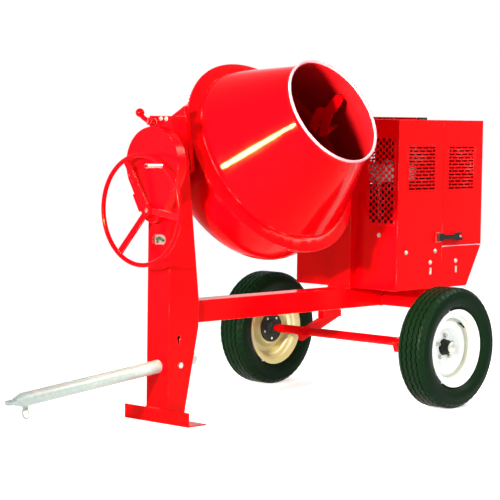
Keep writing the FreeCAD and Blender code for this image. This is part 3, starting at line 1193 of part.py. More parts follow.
# ---------------------------------------------------------------- check and write
def write_parts():
    doc.recompute()
    faulty = [item.Name for item in doc.Objects if "Invalid" in item.State or "Error" in item.State]
    if faulty:
        raise SystemExit("Faulty: " + ", ".join(faulty))
    os.makedirs("parts", exist_ok=True)
    for node in NODES:
        shape = node.Shape
        if shape.isNull() or not shape.isValid():
            raise SystemExit("Bad shape: " + node.Label)
        shape.exportStep("parts/" + node.Label + ".step")
        print(node.Label, len(shape.Solids), round(shape.Volume))


write_parts()
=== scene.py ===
import bmesh
import bpy
import json
import math
from mathutils import Matrix, Vector


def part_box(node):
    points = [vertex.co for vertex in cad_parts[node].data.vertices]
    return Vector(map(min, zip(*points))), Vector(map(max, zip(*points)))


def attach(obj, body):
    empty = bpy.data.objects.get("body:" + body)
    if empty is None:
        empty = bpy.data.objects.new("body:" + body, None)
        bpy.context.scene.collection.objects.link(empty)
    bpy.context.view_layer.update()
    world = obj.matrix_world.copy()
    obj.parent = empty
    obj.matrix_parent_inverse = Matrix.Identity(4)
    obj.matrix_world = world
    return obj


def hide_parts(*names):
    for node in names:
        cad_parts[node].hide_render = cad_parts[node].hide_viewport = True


# Towable drum mixer. Metres: +X to the engine, -X to the tow tongue, drum mouth to -Y, +Z up.

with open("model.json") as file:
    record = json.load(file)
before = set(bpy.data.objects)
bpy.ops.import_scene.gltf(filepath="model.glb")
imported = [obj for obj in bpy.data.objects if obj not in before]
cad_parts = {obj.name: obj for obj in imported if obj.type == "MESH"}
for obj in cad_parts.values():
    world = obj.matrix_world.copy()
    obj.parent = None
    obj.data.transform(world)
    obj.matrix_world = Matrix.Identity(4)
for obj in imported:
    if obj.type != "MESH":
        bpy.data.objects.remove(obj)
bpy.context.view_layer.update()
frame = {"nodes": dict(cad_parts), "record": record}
NODES = frame["nodes"]
RECORD = frame["record"]
MM = 0.001
SPIN = next(joint for joint in RECORD["behaviour"]["joints"] if joint["name"] == "drum_spin")
DRUM_CENTRE = Vector(SPIN["pos_m"])
DRUM_AXIS = Vector(SPIN["axis"])


# ---------------------------------------------------------------- camera, floor and light
def aim(item, location, forward, roll=0.0):
    """Place an object looking along forward, turned by roll about that line."""
    ahead = Vector(forward).normalized()
    across = ahead.cross(Vector((0, 0, 1))).normalized()
    up = across.cross(ahead)
    right = across * math.cos(roll) + up * math.sin(roll)
    above = up * math.cos(roll) - across * math.sin(roll)
    matrix = Matrix((right, above, -ahead)).transposed().to_4x4()
    matrix.translation = Vector(location)
    item.matrix_world = matrix


def link(item):
    bpy.context.scene.collection.objects.link(item)
    return item


def make_camera():
    data = bpy.data.cameras.new("Camera")
    data.lens = 141.45
    data.sensor_width = 36.0
    data.clip_end = 200.0
    camera = link(bpy.data.objects.new("Camera", data))
    heading = math.radians(43.018)
    dip = math.radians(3.929)
    forward = (math.cos(dip) * math.cos(heading), math.cos(dip) * math.sin(heading), -math.sin(dip))
    aim(camera, (-6.7445, -6.3411, 1.3995), forward, math.radians(0.842))
    bpy.context.scene.camera = camera


def area_light(name, location, target, width, height, power, colour, roll=0.0):
    data = bpy.data.lights.new(name, "AREA")
    data.shape = "RECTANGLE"
    data.size = width
    data.size_y = height
    data.energy = power
    data.color = colour
    lamp = link(bpy.data.objects.new(name, data))
    aim(lamp, location, Vector(target) - Vector(location), roll)
    return lamp


def make_world(horizon, zenith):
    """White near the horizon, softer overhead."""
    world = bpy.data.worlds.new("Studio")
    world.use_nodes = True
    tree = world.node_tree
    background = tree.nodes["Background"]
    background.inputs["Color"].default_value = (1.0, 1.0, 1.0, 1.0)
    heading = tree.nodes.new("ShaderNodeTexCoord")
    parts = tree.nodes.new("ShaderNodeSeparateXYZ")
    fade = tree.nodes.new("ShaderNodeMapRange")
    tree.links.new(heading.outputs["Generated"], parts.inputs["Vector"])
    tree.links.new(parts.outputs["Z"], fade.inputs["Value"])
    settings = {"From Min": 0.12, "From Max": 0.5, "To Min": horizon, "To Max": zenith}
    for socket, value in settings.items():
        fade.inputs[socket].default_value = value
    tree.links.new(fade.outputs["Result"], background.inputs["Strength"])
    bpy.context.scene.world = world


# ---------------------------------------------------------------- materials
class Graph:
    """A material's node tree, with short ways to add what the finishes share."""

    def __init__(self, name):
        self.material = bpy.data.materials.new(name)
        self.material.use_nodes = True
        self.tree = self.material.node_tree
        self.shader = self.tree.nodes["Principled BSDF"]
        coordinates = self.tree.nodes.new("ShaderNodeTexCoord")
        self.place = coordinates.outputs["Object"]
        self.facing = coordinates.outputs["Normal"]

    def add(self, kind, inputs, **settings):
        node = self.tree.nodes.new(kind)
        for key, value in settings.items():
            setattr(node, key, value)
        for key, value in inputs.items():
            self.feed(node.inputs[key], value)
        return node

    def feed(self, socket, value):
        if isinstance(value, bpy.types.NodeSocket):
            self.tree.links.new(value, socket)
        elif isinstance(value, tuple) and len(value) == 3 and socket.type == "RGBA":
            socket.default_value = (*value, 1.0)
        else:
            socket.default_value = value

    def set(self, **values):
        """Feed the surface shader: words joined by _ name its sockets."""
        for key, value in values.items():
            self.feed(self.shader.inputs[key.replace("_", " ")], value)

    def stretched(self, scale):
        inputs = {"Vector": self.place, "Scale": scale}
        return self.add("ShaderNodeMapping", inputs).outputs["Vector"]

    def noise(self, scale, detail=4.0, place=None):
        inputs = {"Vector": place or self.place, "Scale": scale, "Detail": detail}
        return self.add("ShaderNodeTexNoise", inputs).outputs["Fac"]

    def cells(self, scale, output="Color"):
        inputs = {"Vector": self.place, "Scale": scale}
        return self.add("ShaderNodeTexVoronoi", inputs).outputs[output]

    def span(self, value, low, high, start=0.0, end=1.0):
        """Remap value from low..high to start..end, held at the ends."""
        inputs = {"Value": value, "From Min": low, "From Max": high, "To Min": start, "To Max": end}
        return self.add("ShaderNodeMapRange", inputs).outputs["Result"]

    def sum(self, operation, first, second):
        node = self.add("ShaderNodeMath", {}, operation=operation)
        self.feed(node.inputs[0], first)
        self.feed(node.inputs[1], second)
        return node.outputs["Value"]

    def mix(self, amount, first, second):
        node = self.add("ShaderNodeMix", {}, data_type="RGBA")
        self.feed(node.inputs["Factor"], amount)
        self.feed(node.inputs[6], first)
        self.feed(node.inputs[7], second)
        return node.outputs[2]

    def part(self, vector, axis):
        return self.add("ShaderNodeSeparateXYZ", {"Vector": vector}).outputs[axis]

    def dot(self, first, second):
        node = self.add("ShaderNodeVectorMath", {}, operation="DOT_PRODUCT")
        self.feed(node.inputs[0], first)
        self.feed(node.inputs[1], second)
        return node.outputs["Value"]

    def edges(self, radius):
        """1 on sharp edges within radius, 0 on flat stretches."""
        soft = self.add("ShaderNodeBevel", {"Radius": radius}, samples=4).outputs["Normal"]
        plain = self.add("ShaderNodeNewGeometry", {}).outputs["Normal"]
        return self.span(self.dot(soft, plain), 0.985, 0.86)

    def bump(self, height, strength, distance):
        inputs = {"Height": height, "Strength": strength, "Distance": distance}
        node = self.add("ShaderNodeBump", inputs)
        self.set(Normal=node.outputs["Normal"])


def wear(graph, radius, low, high):
    """Edge mask broken up by noise, so that only stretches of the edges are rubbed."""
    broken = graph.span(graph.noise(14.0, 6.0), low, high)
    return graph.sum("MULTIPLY", graph.edges(radius), broken)


RED = (0.55, 0.0003, 0.002)
RED_DEEP = (0.48, 0.0003, 0.0015)
PRIMER = (0.42, 0.30, 0.27)
DUST = (0.45, 0.03, 0.03)
GLINT = (1.0, 0.45, 0.14, 1.0)


def paint(name, colour, deep, under, gloss=0.16):
    """Sprayed gloss enamel: slow colour drift, orange peel, road dust and rubbed edges."""
    graph = Graph(name)
    drift = graph.span(graph.noise(2.2, 3.0), 0.3, 0.7)
    base = graph.mix(drift, deep, colour)
    dust = graph.span(graph.noise(34.0, 8.0), 0.62, 0.88, 0.0, 0.03)
    dusty = graph.mix(dust, base, DUST)
    worn = graph.mix(graph.sum("MULTIPLY", wear(graph, 0.0022, 0.5, 0.68), 0.55), dusty, under)
    graph.set(Base_Color=worn)
    graph.set(Roughness=graph.span(graph.noise(9.0, 5.0), 0.3, 0.75, gloss, gloss + 0.08))
    graph.set(Specular_IOR_Level=0.07, Specular_Tint=GLINT)
    graph.bump(graph.noise(260.0, 2.0), 0.03, 0.0006)
    return graph


def drum_paint():
    """The drum's enamel outside, and inside a duller coat of darker red, painted shade, with cement
    stains.
    """
    graph = paint("drum_enamel", RED, RED_DEEP, (0.30, 0.20, 0.18), 0.07)
    axis = tuple(DRUM_AXIS)
    centre = tuple(DRUM_CENTRE)
    offset = graph.add("ShaderNodeVectorMath", {0: graph.place, 1: centre},
                       operation="SUBTRACT").outputs[0]
    along = graph.dot(offset, axis)
    inward_axis = graph.add("ShaderNodeVectorMath", {0: axis}, operation="SCALE")
    graph.feed(inward_axis.inputs["Scale"], along)
    radial = graph.add("ShaderNodeVectorMath", {0: offset, 1: inward_axis.outputs[0]},
                       operation="SUBTRACT")
    outward = graph.dot(radial.outputs[0], graph.facing)
    bottom = graph.sum("MULTIPLY", graph.dot(graph.facing, axis), graph.span(along, -0.2, -0.25))
    inside = graph.span(graph.sum("SUBTRACT", bottom, outward), 0.0, 0.02)
    fresh = graph.shader.inputs["Base Color"].links[0].from_socket
    splash = graph.span(graph.noise(11.0, 9.0), 0.5, 0.8, 0.0, 0.10)
    # The darker red inside the drum is painted shade; the splash towards grey-brown is cement stain.
    shaded_and_stained = graph.mix(splash, (0.36, 0.003, 0.006), (0.20, 0.03, 0.03))
    polish = graph.shader.inputs["Roughness"].links[0].from_socket
    graph.set(Base_Color=graph.mix(inside, fresh, shaded_and_stained))
    graph.set(Roughness=graph.sum("MAXIMUM", polish, graph.sum("MULTIPLY", inside, 0.6)))
    return graph.material


def bare_metal(name, colour, dull, roughness, metallic=1.0, scratch=(2.0, 60.0, 60.0)):
    """Machined or plated metal: fine drawn scratches and dull patches."""
    graph = Graph(name)
    patch = graph.span(graph.noise(18.0, 6.0), 0.35, 0.7)
    lines = graph.noise(8.0, 6.0, graph.stretched(scratch))
    graph.set(Base_Color=graph.mix(patch, colour, dull), Metallic=metallic)
    graph.set(Roughness=graph.span(lines, 0.3, 0.7, roughness - 0.08, roughness + 0.12))
    graph.bump(lines, 0.12, 0.0004)
    return graph.material


def galvanised():
    """Hot-dip zinc: pale green-grey crystals of slightly different shade and dullness."""
    graph = Graph("galvanised_tube")
    spangle = graph.part(graph.cells(75.0), "X")
    cloud = graph.span(graph.noise(7.0, 4.0), 0.3, 0.7)
    crystals = graph.mix(spangle, (0.36, 0.45, 0.42), (0.45, 0.54, 0.51))
    rubbed = graph.sum("MULTIPLY", wear(graph, 0.002, 0.45, 0.6), 0.5)
    scuffed = graph.mix(rubbed, crystals, (0.35, 0.37, 0.34))
    graph.set(Base_Color=graph.mix(graph.sum("MULTIPLY", cloud, 0.25), scuffed, (0.32, 0.41, 0.37)))
    graph.set(Metallic=0.2, Roughness=graph.span(spangle, 0.0, 1.0, 0.28, 0.46))
    graph.bump(graph.noise(120.0, 3.0), 0.08, 0.0006)
    return graph.material


def cast_iron():
    """Dark cast metal with a film of old grease."""
    graph = Graph("greased_cast_iron")
    film = graph.span(graph.noise(22.0, 7.0), 0.4, 0.65)
    graph.set(Base_Color=graph.mix(film, (0.20, 0.19, 0.18), (0.07, 0.055, 0.04)), Metallic=0.75)
    graph.set(Roughness=graph.span(film, 0.0, 1.0, 0.55, 0.24))
    graph.bump(graph.noise(190.0, 4.0), 0.25, 0.001)
    return graph.material


def rubber(name, colour, dust_colour, dust, roughness, grain):
    """Moulded rubber: fine grain, with bloom and dust in patches."""
    graph = Graph(name)
    bloom = graph.span(graph.noise(6.0, 6.0), 0.4, 0.75, 0.0, dust)
    edge = graph.sum("MULTIPLY", graph.edges(0.003), 0.35)
    scuffed = graph.mix(edge, colour, tuple(2.0 * value for value in colour))
    graph.set(Base_Color=graph.mix(bloom, scuffed, dust_colour))
    patches = graph.noise(30.0, 5.0)
    graph.set(Roughness=graph.span(patches, 0.3, 0.7, roughness - 0.08, roughness + 0.1))
    graph.set(Specular_IOR_Level=0.04)
    graph.bump(graph.noise(grain, 3.0), 0.12, 0.0006)
    return graph.material


def wheel_paint():
    """White enamel on the outboard faces, a darker, yellower cream on the inboard ones that is painted
    shade, rust-freckled.
    """
    graph = Graph("wheel_enamel")
    side = graph.sum("SIGN", graph.part(graph.place, "Y"), 0.0)
    unshaded_outboard = graph.span(graph.sum("MULTIPLY", side, graph.part(graph.facing, "Y")), -0.25, 0.25)
    # The inboard faces' darker, yellower cream is painted shade, not a second paint.
    base = graph.mix(unshaded_outboard, (0.47, 0.43, 0.17), (0.70, 0.75, 0.75))
    grime = graph.span(graph.noise(26.0, 8.0), 0.6, 0.88, 0.0, 0.20)
    dirty = graph.mix(grime, base, (0.46, 0.36, 0.24))
    graph.set(Base_Color=graph.mix(wear(graph, 0.002, 0.55, 0.7), dirty, (0.33, 0.15, 0.08)))
    graph.set(Roughness=graph.span(graph.noise(12.0, 5.0), 0.3, 0.75, 0.26, 0.42))
    graph.set(Coat_Weight=0.3, Coat_Roughness=0.12)
    graph.bump(graph.noise(220.0, 2.0), 0.05, 0.0006)
    return graph.material


def floor_finish():
    graph = Graph("studio_floor")
    graph.set(Base_Color=graph.mix(graph.noise(0.8, 4.0), (0.86, 0.86, 0.86), (0.9, 0.9, 0.9)))
    graph.set(Roughness=0.9, Specular_IOR_Level=0.0)
    graph.set(Emission_Color=(1.0, 1.0, 1.0), Emission_Strength=0.55)
    return graph.material


def make_finishes():
    """One finish for each material slot of the record."""
    enamels = {
        "paint": ("red_enamel", RED, RED_DEEP, PRIMER, 0.16),
        # The mouth band's pale pink enamel is a painted highlight: it stands in for white light
        # reflected on the glossy red lip.
        "mouth_band": ("lip_painted_highlight", (0.60, 0.22, 0.26), (0.52, 0.16, 0.20), (0.70, 0.56, 0.52), 0.3),
        "dark_steel": ("black_enamel", (0.025, 0.028, 0.026), (0.012, 0.014, 0.013),
                       (0.2, 0.19, 0.18), 0.35),
        "engine_white": ("white_enamel", (0.84, 0.84, 0.81), (0.76, 0.76, 0.72),
                         (0.3, 0.28, 0.26), 0.25),
    }
    rubbers = {
        "tyre_rubber": ("tyre_rubber", (0.002, 0.009, 0.003), (0.02, 0.04, 0.02), 0.04, 0.38, 420.0),
        "latch_rubber": ("latch_rubber", (0.010, 0.010, 0.011), (0.06, 0.05, 0.05), 0.12, 0.55, 500.0),
        "belt_rubber": ("belt_rubber", (0.02, 0.02, 0.022), (0.14, 0.13, 0.12), 0.3, 0.7, 300.0),
        "plastic_black": ("moulded_plastic", (0.022, 0.022, 0.023), (0.12, 0.12, 0.12),
                          0.12, 0.4, 650.0),
    }
    finishes = {slot: paint(*values).material for slot, values in enamels.items()}
    finishes.update({slot: rubber(*values) for slot, values in rubbers.items()})
    finishes["cream"] = wheel_paint()
    finishes["gear_steel"] = cast_iron()
    finishes["bare_steel"] = bare_metal("zinc_plate", (0.66, 0.67, 0.60), (0.44, 0.43, 0.36), 0.32)
    finishes["engine_alloy"] = bare_metal("cast_alloy", (0.34, 0.32, 0.32), (0.20, 0.19, 0.19),
                                          0.5, 0.9, (30.0, 30.0, 30.0))
    return finishes


def wear_finish(item, material):
    item.data.materials.clear()
    item.data.materials.append(material)


# ---------------------------------------------------------------- CAD pieces: soft edges and finishes
def edge_angle_group():
    """Geometry nodes that shade smooth, but keep edges sharper than the limit crisp."""
    tree = bpy.data.node_groups.new("smooth_by_edge", "GeometryNodeTree")
    tree.interface.new_socket("Geometry", in_out="INPUT", socket_type="NodeSocketGeometry")
    tree.interface.new_socket("Geometry", in_out="OUTPUT", socket_type="NodeSocketGeometry")
    start = tree.nodes.new("NodeGroupInput")
    end = tree.nodes.new("NodeGroupOutput")
    plain = tree.nodes.new("GeometryNodeRemoveAttribute")
    plain.inputs["Name"].default_value = "custom_normal"
    smooth = tree.nodes.new("GeometryNodeSetShadeSmooth")
    smooth.domain = "FACE"
    crisp = tree.nodes.new("GeometryNodeSetShadeSmooth")
    crisp.domain = "EDGE"
    crisp.inputs["Shade Smooth"].default_value = False
    angle = tree.nodes.new("GeometryNodeInputMeshEdgeAngle")
    compare = tree.nodes.new("FunctionNodeCompare")
    compare.operation = "GREATER_THAN"
    compare.inputs["B"].default_value = math.radians(38)
    tree.links.new(start.outputs[0], plain.inputs["Geometry"])
    tree.links.new(plain.outputs["Geometry"], smooth.inputs["Geometry"])
    tree.links.new(smooth.outputs["Geometry"], crisp.inputs["Geometry"])
    tree.links.new(angle.outputs["Unsigned Angle"], compare.inputs["A"])
    tree.links.new(compare.outputs["Result"], crisp.inputs["Selection"])
    tree.links.new(crisp.outputs["Geometry"], end.inputs[0])
    return tree


SMOOTH = edge_angle_group()


def soften(item, width, segments=2):
    """Weld, tidy flat faces, round the edges by width and shade by angle."""
    weld = item.modifiers.new("weld", "WELD")
    weld.merge_threshold = 0.00002
    flat = item.modifiers.new("flat", "DECIMATE")
    flat.decimate_type = "DISSOLVE"
    flat.angle_limit = math.radians(0.4)
    if width:
        bevel = item.modifiers.new("bevel", "BEVEL")
        bevel.width = width
        bevel.segments = segments
        bevel.limit_method = "ANGLE"
        bevel.angle_limit = math.radians(40)
        bevel.use_clamp_overlap = True
    shade = item.modifiers.new("shade", "NODES")
    shade.node_group = SMOOTH
    even = item.modifiers.new("even", "WEIGHTED_NORMAL")
    even.keep_sharp = True
    even.weight = 80


EDGE_WIDTH = {
    "pedestal": 2.0, "beam": 2.5, "cross_member": 2.5, "foot": 2.0, "axle_arms": 3.0,
    "arm_hangers": 3.0, "cabinet_front": 1.2, "hood_rear": 1.2, "cabinet_base": 1.2,
    "gear_guard": 1.2, "yoke": 1.5, "handwheel": 1.5, "lock_handle": 4.0, "tow_tube": 1.0,
    "latch_near": 3.0, "latch_far": 3.0, "engine_case": 4.0, "engine_cylinder": 1.0,
    "air_cleaner": 5.0,
}
DRUM_NODES = ("drum_bowl", "drum_cone")


def finish_cad(finishes):
    slot_of = {row["node"]: row["material_slot"] for row in RECORD["subparts"]}
    drum = drum_paint()
    zinc = galvanised()
    for name, item in NODES.items():
        material = drum if name in DRUM_NODES else finishes[slot_of[name]]
        if name == "tow_tube":
            material = zinc
        wear_finish(item, material)
        soften(item, EDGE_WIDTH.get(name, 0.6) * MM)


# ---------------------------------------------------------------- stage
def make_floor():
    mesh = bpy.data.meshes.new("floor")
    builder = bmesh.new()
    bmesh.ops.create_circle(builder, cap_ends=True, segments=96, radius=60.0)
    builder.to_mesh(mesh)
    builder.free()
    floor = link(bpy.data.objects.new("floor", mesh))
    floor.location.z = -0.0005
    wear_finish(floor, floor_finish())


def make_studio():
    bpy.context.scene.view_settings.view_transform = "Standard"
    make_world(1.0, 0.5)
    heart = (0.2, 0.0, 1.0)
    area_light("key", (-1.5, -5.5, 5.5), heart, 2.0, 2.0, 125.0, (1.0, 0.97, 0.92))
    area_light("fill", (-6.0, 1.5, 3.0), heart, 2.5, 2.5, 40.0, (0.95, 0.97, 1.0))
    streak = area_light("streak", (-4.07, -1.17, 1.80), (-0.20, -0.29, 1.27), 0.34, 0.95, 90.0,
                        (1.0, 0.98, 0.80), math.radians(-60))
    streak.data.spread = math.radians(40)
    area_light("rim", (2.4, -1.9, 3.0), (-0.4, 0.0, 1.2), 1.2, 1.2, 120.0, (1.0, 1.0, 1.0))
    make_floor()


# ---------------------------------------------------------------- mesh helpers
def new_piece(name, parts, body, slot, stands_for=()):
    """One mesh object from a list of (points, faces), riding on a body."""
    vertices = []
    faces = []
    for points, loops in parts:
        start = len(vertices)
        vertices += [tuple(point) for point in points]
        faces += [tuple(start + i for i in loop) for loop in loops]
    mesh = bpy.data.meshes.new(name)
    mesh.from_pydata(vertices, [], faces)
    builder = bmesh.new()
    builder.from_mesh(mesh)
    bmesh.ops.remove_doubles(builder, verts=builder.verts, dist=0.000001)
    bmesh.ops.recalc_face_normals(builder, faces=builder.faces)
    builder.to_mesh(mesh)
    builder.free()
    piece = link(bpy.data.objects.new(name, mesh))
    wear_finish(piece, FINISHES[slot])
    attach(piece, body)
    if stands_for:
        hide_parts(*stands_for)
    return piece


def skin(rings, looped):
    """Faces between equal rings of points; an open run gets end caps."""
    width = len(rings[0])
    count = len(rings)
    vertices = [point for ring in rings for point in ring]
    faces = []
    for i in range(count if looped else count - 1):
        j = (i + 1) % count
        for k in range(width):
            n = (k + 1) % width
            faces.append((i * width + k, i * width + n, j * width + n, j * width + k))
    if not looped:
        faces.append(tuple(range(width)))
        faces.append(tuple((count - 1) * width + k for k in reversed(range(width))))
    return vertices, faces


def across(axis):
    """Two directions square to an axis."""
    ahead = Vector(axis).normalized()
    guess = Vector((0, 0, 1)) if abs(ahead.z) < 0.9 else Vector((1, 0, 0))
    side = ahead.cross(guess).normalized()
    return side, ahead.cross(side)


def circle(centre, axis, radius, count=72):
    side, up = across(axis)
    return [Vector(centre) + radius * (side * math.cos(a) + up * math.sin(a))
            for a in (math.tau * k / count for k in range(count))]


def turned(centre, axis, profile, count=32):
    """Solid of revolution from (radius, height) points measured from centre along axis."""
    ahead = Vector(axis).normalized()
    rings = [circle(Vector(centre) + ahead * height, axis, max(radius, 0.00001), count)
             for radius, height in profile]
    return skin(rings, False)


def prism(outline, offset):
    """Solid between an outline and its copy moved by offset."""
    return skin([outline, [point + Vector(offset) for point in outline]], False)


def resample(corners, step, looped):
    """Points every step or so along a polyline."""
    points = []
    count = len(corners)
    for i in range(count if looped else count - 1):
        start = Vector(corners[i])
        end = Vector(corners[(i + 1) % count])
        parts = max(1, round((end - start).length / step))
        points += [start.lerp(end, k / parts) for k in range(parts)]
    if not looped:
        points.append(Vector(corners[-1]))
    return points


def tube(points, radius_at, looped, sides=10):
    """Round bar along points; radius_at gives the radius at each index."""
    count = len(points)
    rings = []
    side = None
    for i, point in enumerate(points):
        before = points[i - 1] if looped or i else point
        after = points[(i + 1) % count] if looped or i < count - 1 else point
        tangent = (after - before).normalized()
        if side is None:
            side = across(tangent)[0]
        else:
            side = (side - tangent * side.dot(tangent)).normalized()
        up = tangent.cross(side)
        rings.append([point + radius_at(i) * (side * math.cos(a) + up * math.sin(a))
                      for a in (math.tau * k / sides for k in range(sides))])
    return skin(rings, looped)


# ---------------------------------------------------------------- weld beads
def bead(corners, radius, looped=False):
    """Rippled fillet weld laid along a path."""
    points = resample(corners, radius * 0.6, looped)

    def swell(i):
        return radius * (1.0 + 0.14 * math.sin(2.4 * i) + 0.05 * math.sin(0.7 * i))

    return tube(points, swell, looped, 8)


def rectangle(x, low, high):
    """Corners of an upright rectangle in a plane of constant x."""
    return [(x, low[0], low[1]), (x, high[0], low[1]), (x, high[0], high[1]), (x, low[0], high[1])]


def middle(node):
    low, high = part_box(node)
    return (Vector(low) + Vector(high)) / 2


# Height along the drum's axis, radius and number of points: ring gear seam, then hub seam.
DRUM_SEAMS = ((84 * MM, 445 * MM, 180), (-277 * MM, 95 * MM, 72))


def make_welds():
    size = 3.5 * MM
    beam_low, beam_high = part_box("beam")
    low, high = (beam_low[1], beam_low[2]), (beam_high[1], beam_high[2])
    foot_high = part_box("foot")[1]
    post_low, post_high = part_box("pedestal")
    arm_low, arm_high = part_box("axle_arms")
    axle_low, axle_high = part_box("axle")
    axle_mid = middle("axle")
    radius = (axle_high[2] - axle_low[2]) / 2
    arm_thick = 26 * MM
    beads = [
        bead(rectangle(beam_low[0] + size, low, high), size, True),
        bead(rectangle(beam_high[0] - size, low, high), size, True),
    ]
    for y in (post_low[1], post_high[1]):
        beads.append(bead([(post_low[0] + 2 * size, y, post_low[2] + size),
                           (post_low[0] + 90 * MM, y, post_low[2] + size)], size))
    beads.append(bead([(post_low[0] - size / 2, post_low[1], foot_high[2]),
                       (post_low[0] - size / 2, post_high[1], foot_high[2])], size))
    for y in (arm_low[1], arm_low[1] + arm_thick, arm_high[1] - arm_thick, arm_high[1]):
        beads.append(bead(circle((axle_mid.x, y, axle_mid.z), (0, 1, 0), radius), size, True))
    new_piece("frame_welds", beads, "chassis", "paint")
    drum_beads = []
    for height, radius, count in DRUM_SEAMS:
        seam = circle(DRUM_CENTRE + DRUM_AXIS * height, DRUM_AXIS, radius, count)
        drum_beads.append(bead(seam, size, True))
    new_piece("drum_welds", drum_beads, "drum", "paint")


# ---------------------------------------------------------------- tyres
GROOVES = (-0.52, -0.18, 0.18, 0.52)
RIM_SEAT = 188.9 * MM


def tyre_section(half, tread, seat, shift, notch):
    """(across, radius) points round the tyre's section, grooves moved sideways by shift."""
    wall = [(0.64, seat + 2 * MM), (0.72, seat + 9 * MM), (0.82, seat + 14 * MM),
            (0.86, seat + 22 * MM), (0.90, seat + 24 * MM), (0.92, seat + 30 * MM),
            (0.97, seat + 42 * MM), (0.995, seat + 54 * MM), (0.985, seat + 64 * MM),
            (0.95, tread - 29 * MM), (0.965, tread - 25 * MM),
            (0.945, tread - 20 * MM), (0.89, tread - 17 * MM), (0.84, tread - 10 * MM - notch),
            (0.74, tread - 3 * MM - notch), (0.70, tread - 2 * MM)]
    points = [(-side, radius) for side, radius in wall]
    depth = 8 * MM
    for groove in GROOVES:
        points += [(groove - 0.050 + shift, tread), (groove - 0.034 + shift, tread - depth),
                   (groove + 0.034 + shift, tread - depth), (groove + 0.050 + shift, tread)]
    points += [(side, radius) for side, radius in reversed(wall)]
    points += [(0.55, seat + 12 * MM), (0.80, seat + 50 * MM), (0.6, tread - 20 * MM),
               (-0.6, tread - 20 * MM), (-0.80, seat + 50 * MM), (-0.55, seat + 12 * MM)]
    return [(side * half, radius) for side, radius in points]


def make_tyres():
    """Zig-zag ribbed tyres with stepped side walls."""
    steps = 288
    teeth = 48
    for tag in ("near", "far"):
        node = "tyre_" + tag
        low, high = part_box(node)
        centre = middle(node)
        tread = (high[2] - low[2]) / 2
        half = (high[1] - low[1]) / 2
        rings = []
        for i in range(steps):
            phase = (i * teeth / steps) % 1.0
            shift = 0.045 * (abs(4 * phase - 2) - 1)
            notch = 4 * MM if phase < 0.34 else 0.0
            angle = math.tau * i / steps
            out = Vector((math.cos(angle), 0, math.sin(angle)))
            section = tyre_section(half, tread, RIM_SEAT, shift, notch)
            rings.append([centre + Vector((0, side, 0)) + out * radius for side, radius in section])
        tyre = new_piece("ribbed_" + node, [skin(rings, True)], "wheel_" + tag, "tyre_rubber", (node,))
        soften(tyre, 0)


# ---------------------------------------------------------------- cabinet trim
LIP_SECTION = [(-1.0, 2.0), (1.6, 1.2), (2.6, -1.6), (2.0, -2.0), (1.0, -0.2), (-1.0, 0.4)]


def make_louvre_lips():
    """Pressed lip over each slot of the side louvres."""
    edge = 10 * MM
    slot = 10 * MM
    bridge = 9 * MM
    rows = 13
    columns = 4
    for node, body in (("louvres_front", "chassis"), ("louvres_rear", "hood")):
        low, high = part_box(node)
        pitch = (high[0] - low[0] - 2 * edge) / columns
        rise = (high[2] - low[2] - 2 * edge - slot) / (rows - 1)
        lips = []
        for row in range(rows):
            stagger = 0.5 * (row % 2)
            base = low[2] + edge + slot + row * rise
            for column in range(columns - row % 2):
                start = low[0] + edge + (column + stagger) * pitch + bridge / 2
                length = pitch - bridge
                for skin_y, side in ((low[1], -1), (high[1], 1)):
                    outline = [Vector((start, skin_y + side * out * MM, base + up * MM))
                               for out, up in LIP_SECTION]
                    lips.append(prism(outline, (length, 0, 0)))
        new_piece(node + "_lips", lips, body, "paint")


WINDOW_Z = 832 * MM


def make_trim():
    """Rolled hem under the hood, and the shift plate inside the pedestal's oval window."""
    low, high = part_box("hood_rear")
    radius = 2.6 * MM
    z = low[2] + radius
    path = [(low[0] + 4 * MM, low[1] - 1 * MM, z), (high[0] - 2 * MM, low[1] - 1 * MM, z),
            (high[0] - 2 * MM, high[1] + 1 * MM, z), (low[0] + 4 * MM, high[1] + 1 * MM, z)]
    points = resample(path, 40 * MM, False)
    # The hem wears the pale pink mouth_band enamel as a painted highlight along the hood's lower edge.
    new_piece("hood_hem", [tube(points, lambda i: radius, False)], "hood", "mouth_band")
    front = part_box("pedestal")[0][0]
    centre = Vector((front + 9 * MM, 0, WINDOW_Z))
    corners = ((-38, -16), (-30, -22), (30, -22), (38, -16), (38, 16), (30, 22), (-30, 22), (-38, 16))
    plate = [centre + Vector((0, y * MM, z * MM)) for y, z in corners]
    new_piece("shift_plate", [prism(plate, (2 * MM, 0, 0))], "chassis", "bare_steel")

    def bar(spots, radius):
        path = [centre + Vector((-3 * MM, y * MM, z * MM)) for y, z in spots]
        return tube(resample(path, 4 * MM, False), lambda i: radius, False)

    lever = bar(((26, 2), (8, 9), (-24, -5)), 5.5 * MM)
    foot = bar(((14, 4), (18, -15)), 5 * MM)
    new_piece("shift_lever", [lever, foot], "chassis", "dark_steel")


def islands(item):
    """Boxes of the loose parts of a mesh, as (low, high) corners."""
    builder = bmesh.new()
    builder.from_mesh(item.data)
    bmesh.ops.remove_doubles(builder, verts=builder.verts, dist=0.00001)
    left = set(builder.verts)
    found = []
    while left:
        queue = [left.pop()]
        spots = []
        while queue:
            vertex = queue.pop()
            spots.append(vertex.co.copy())
            for edge in vertex.link_edges:
                other = edge.other_vert(vertex)
                if other in left:
                    left.remove(other)
                    queue.append(other)
        found.append((Vector(min(p[k] for p in spots) for k in range(3)),
                      Vector(max(p[k] for p in spots) for k in range(3))))
    builder.free()
    return sorted(found, key=lambda pair: tuple(pair[0]))


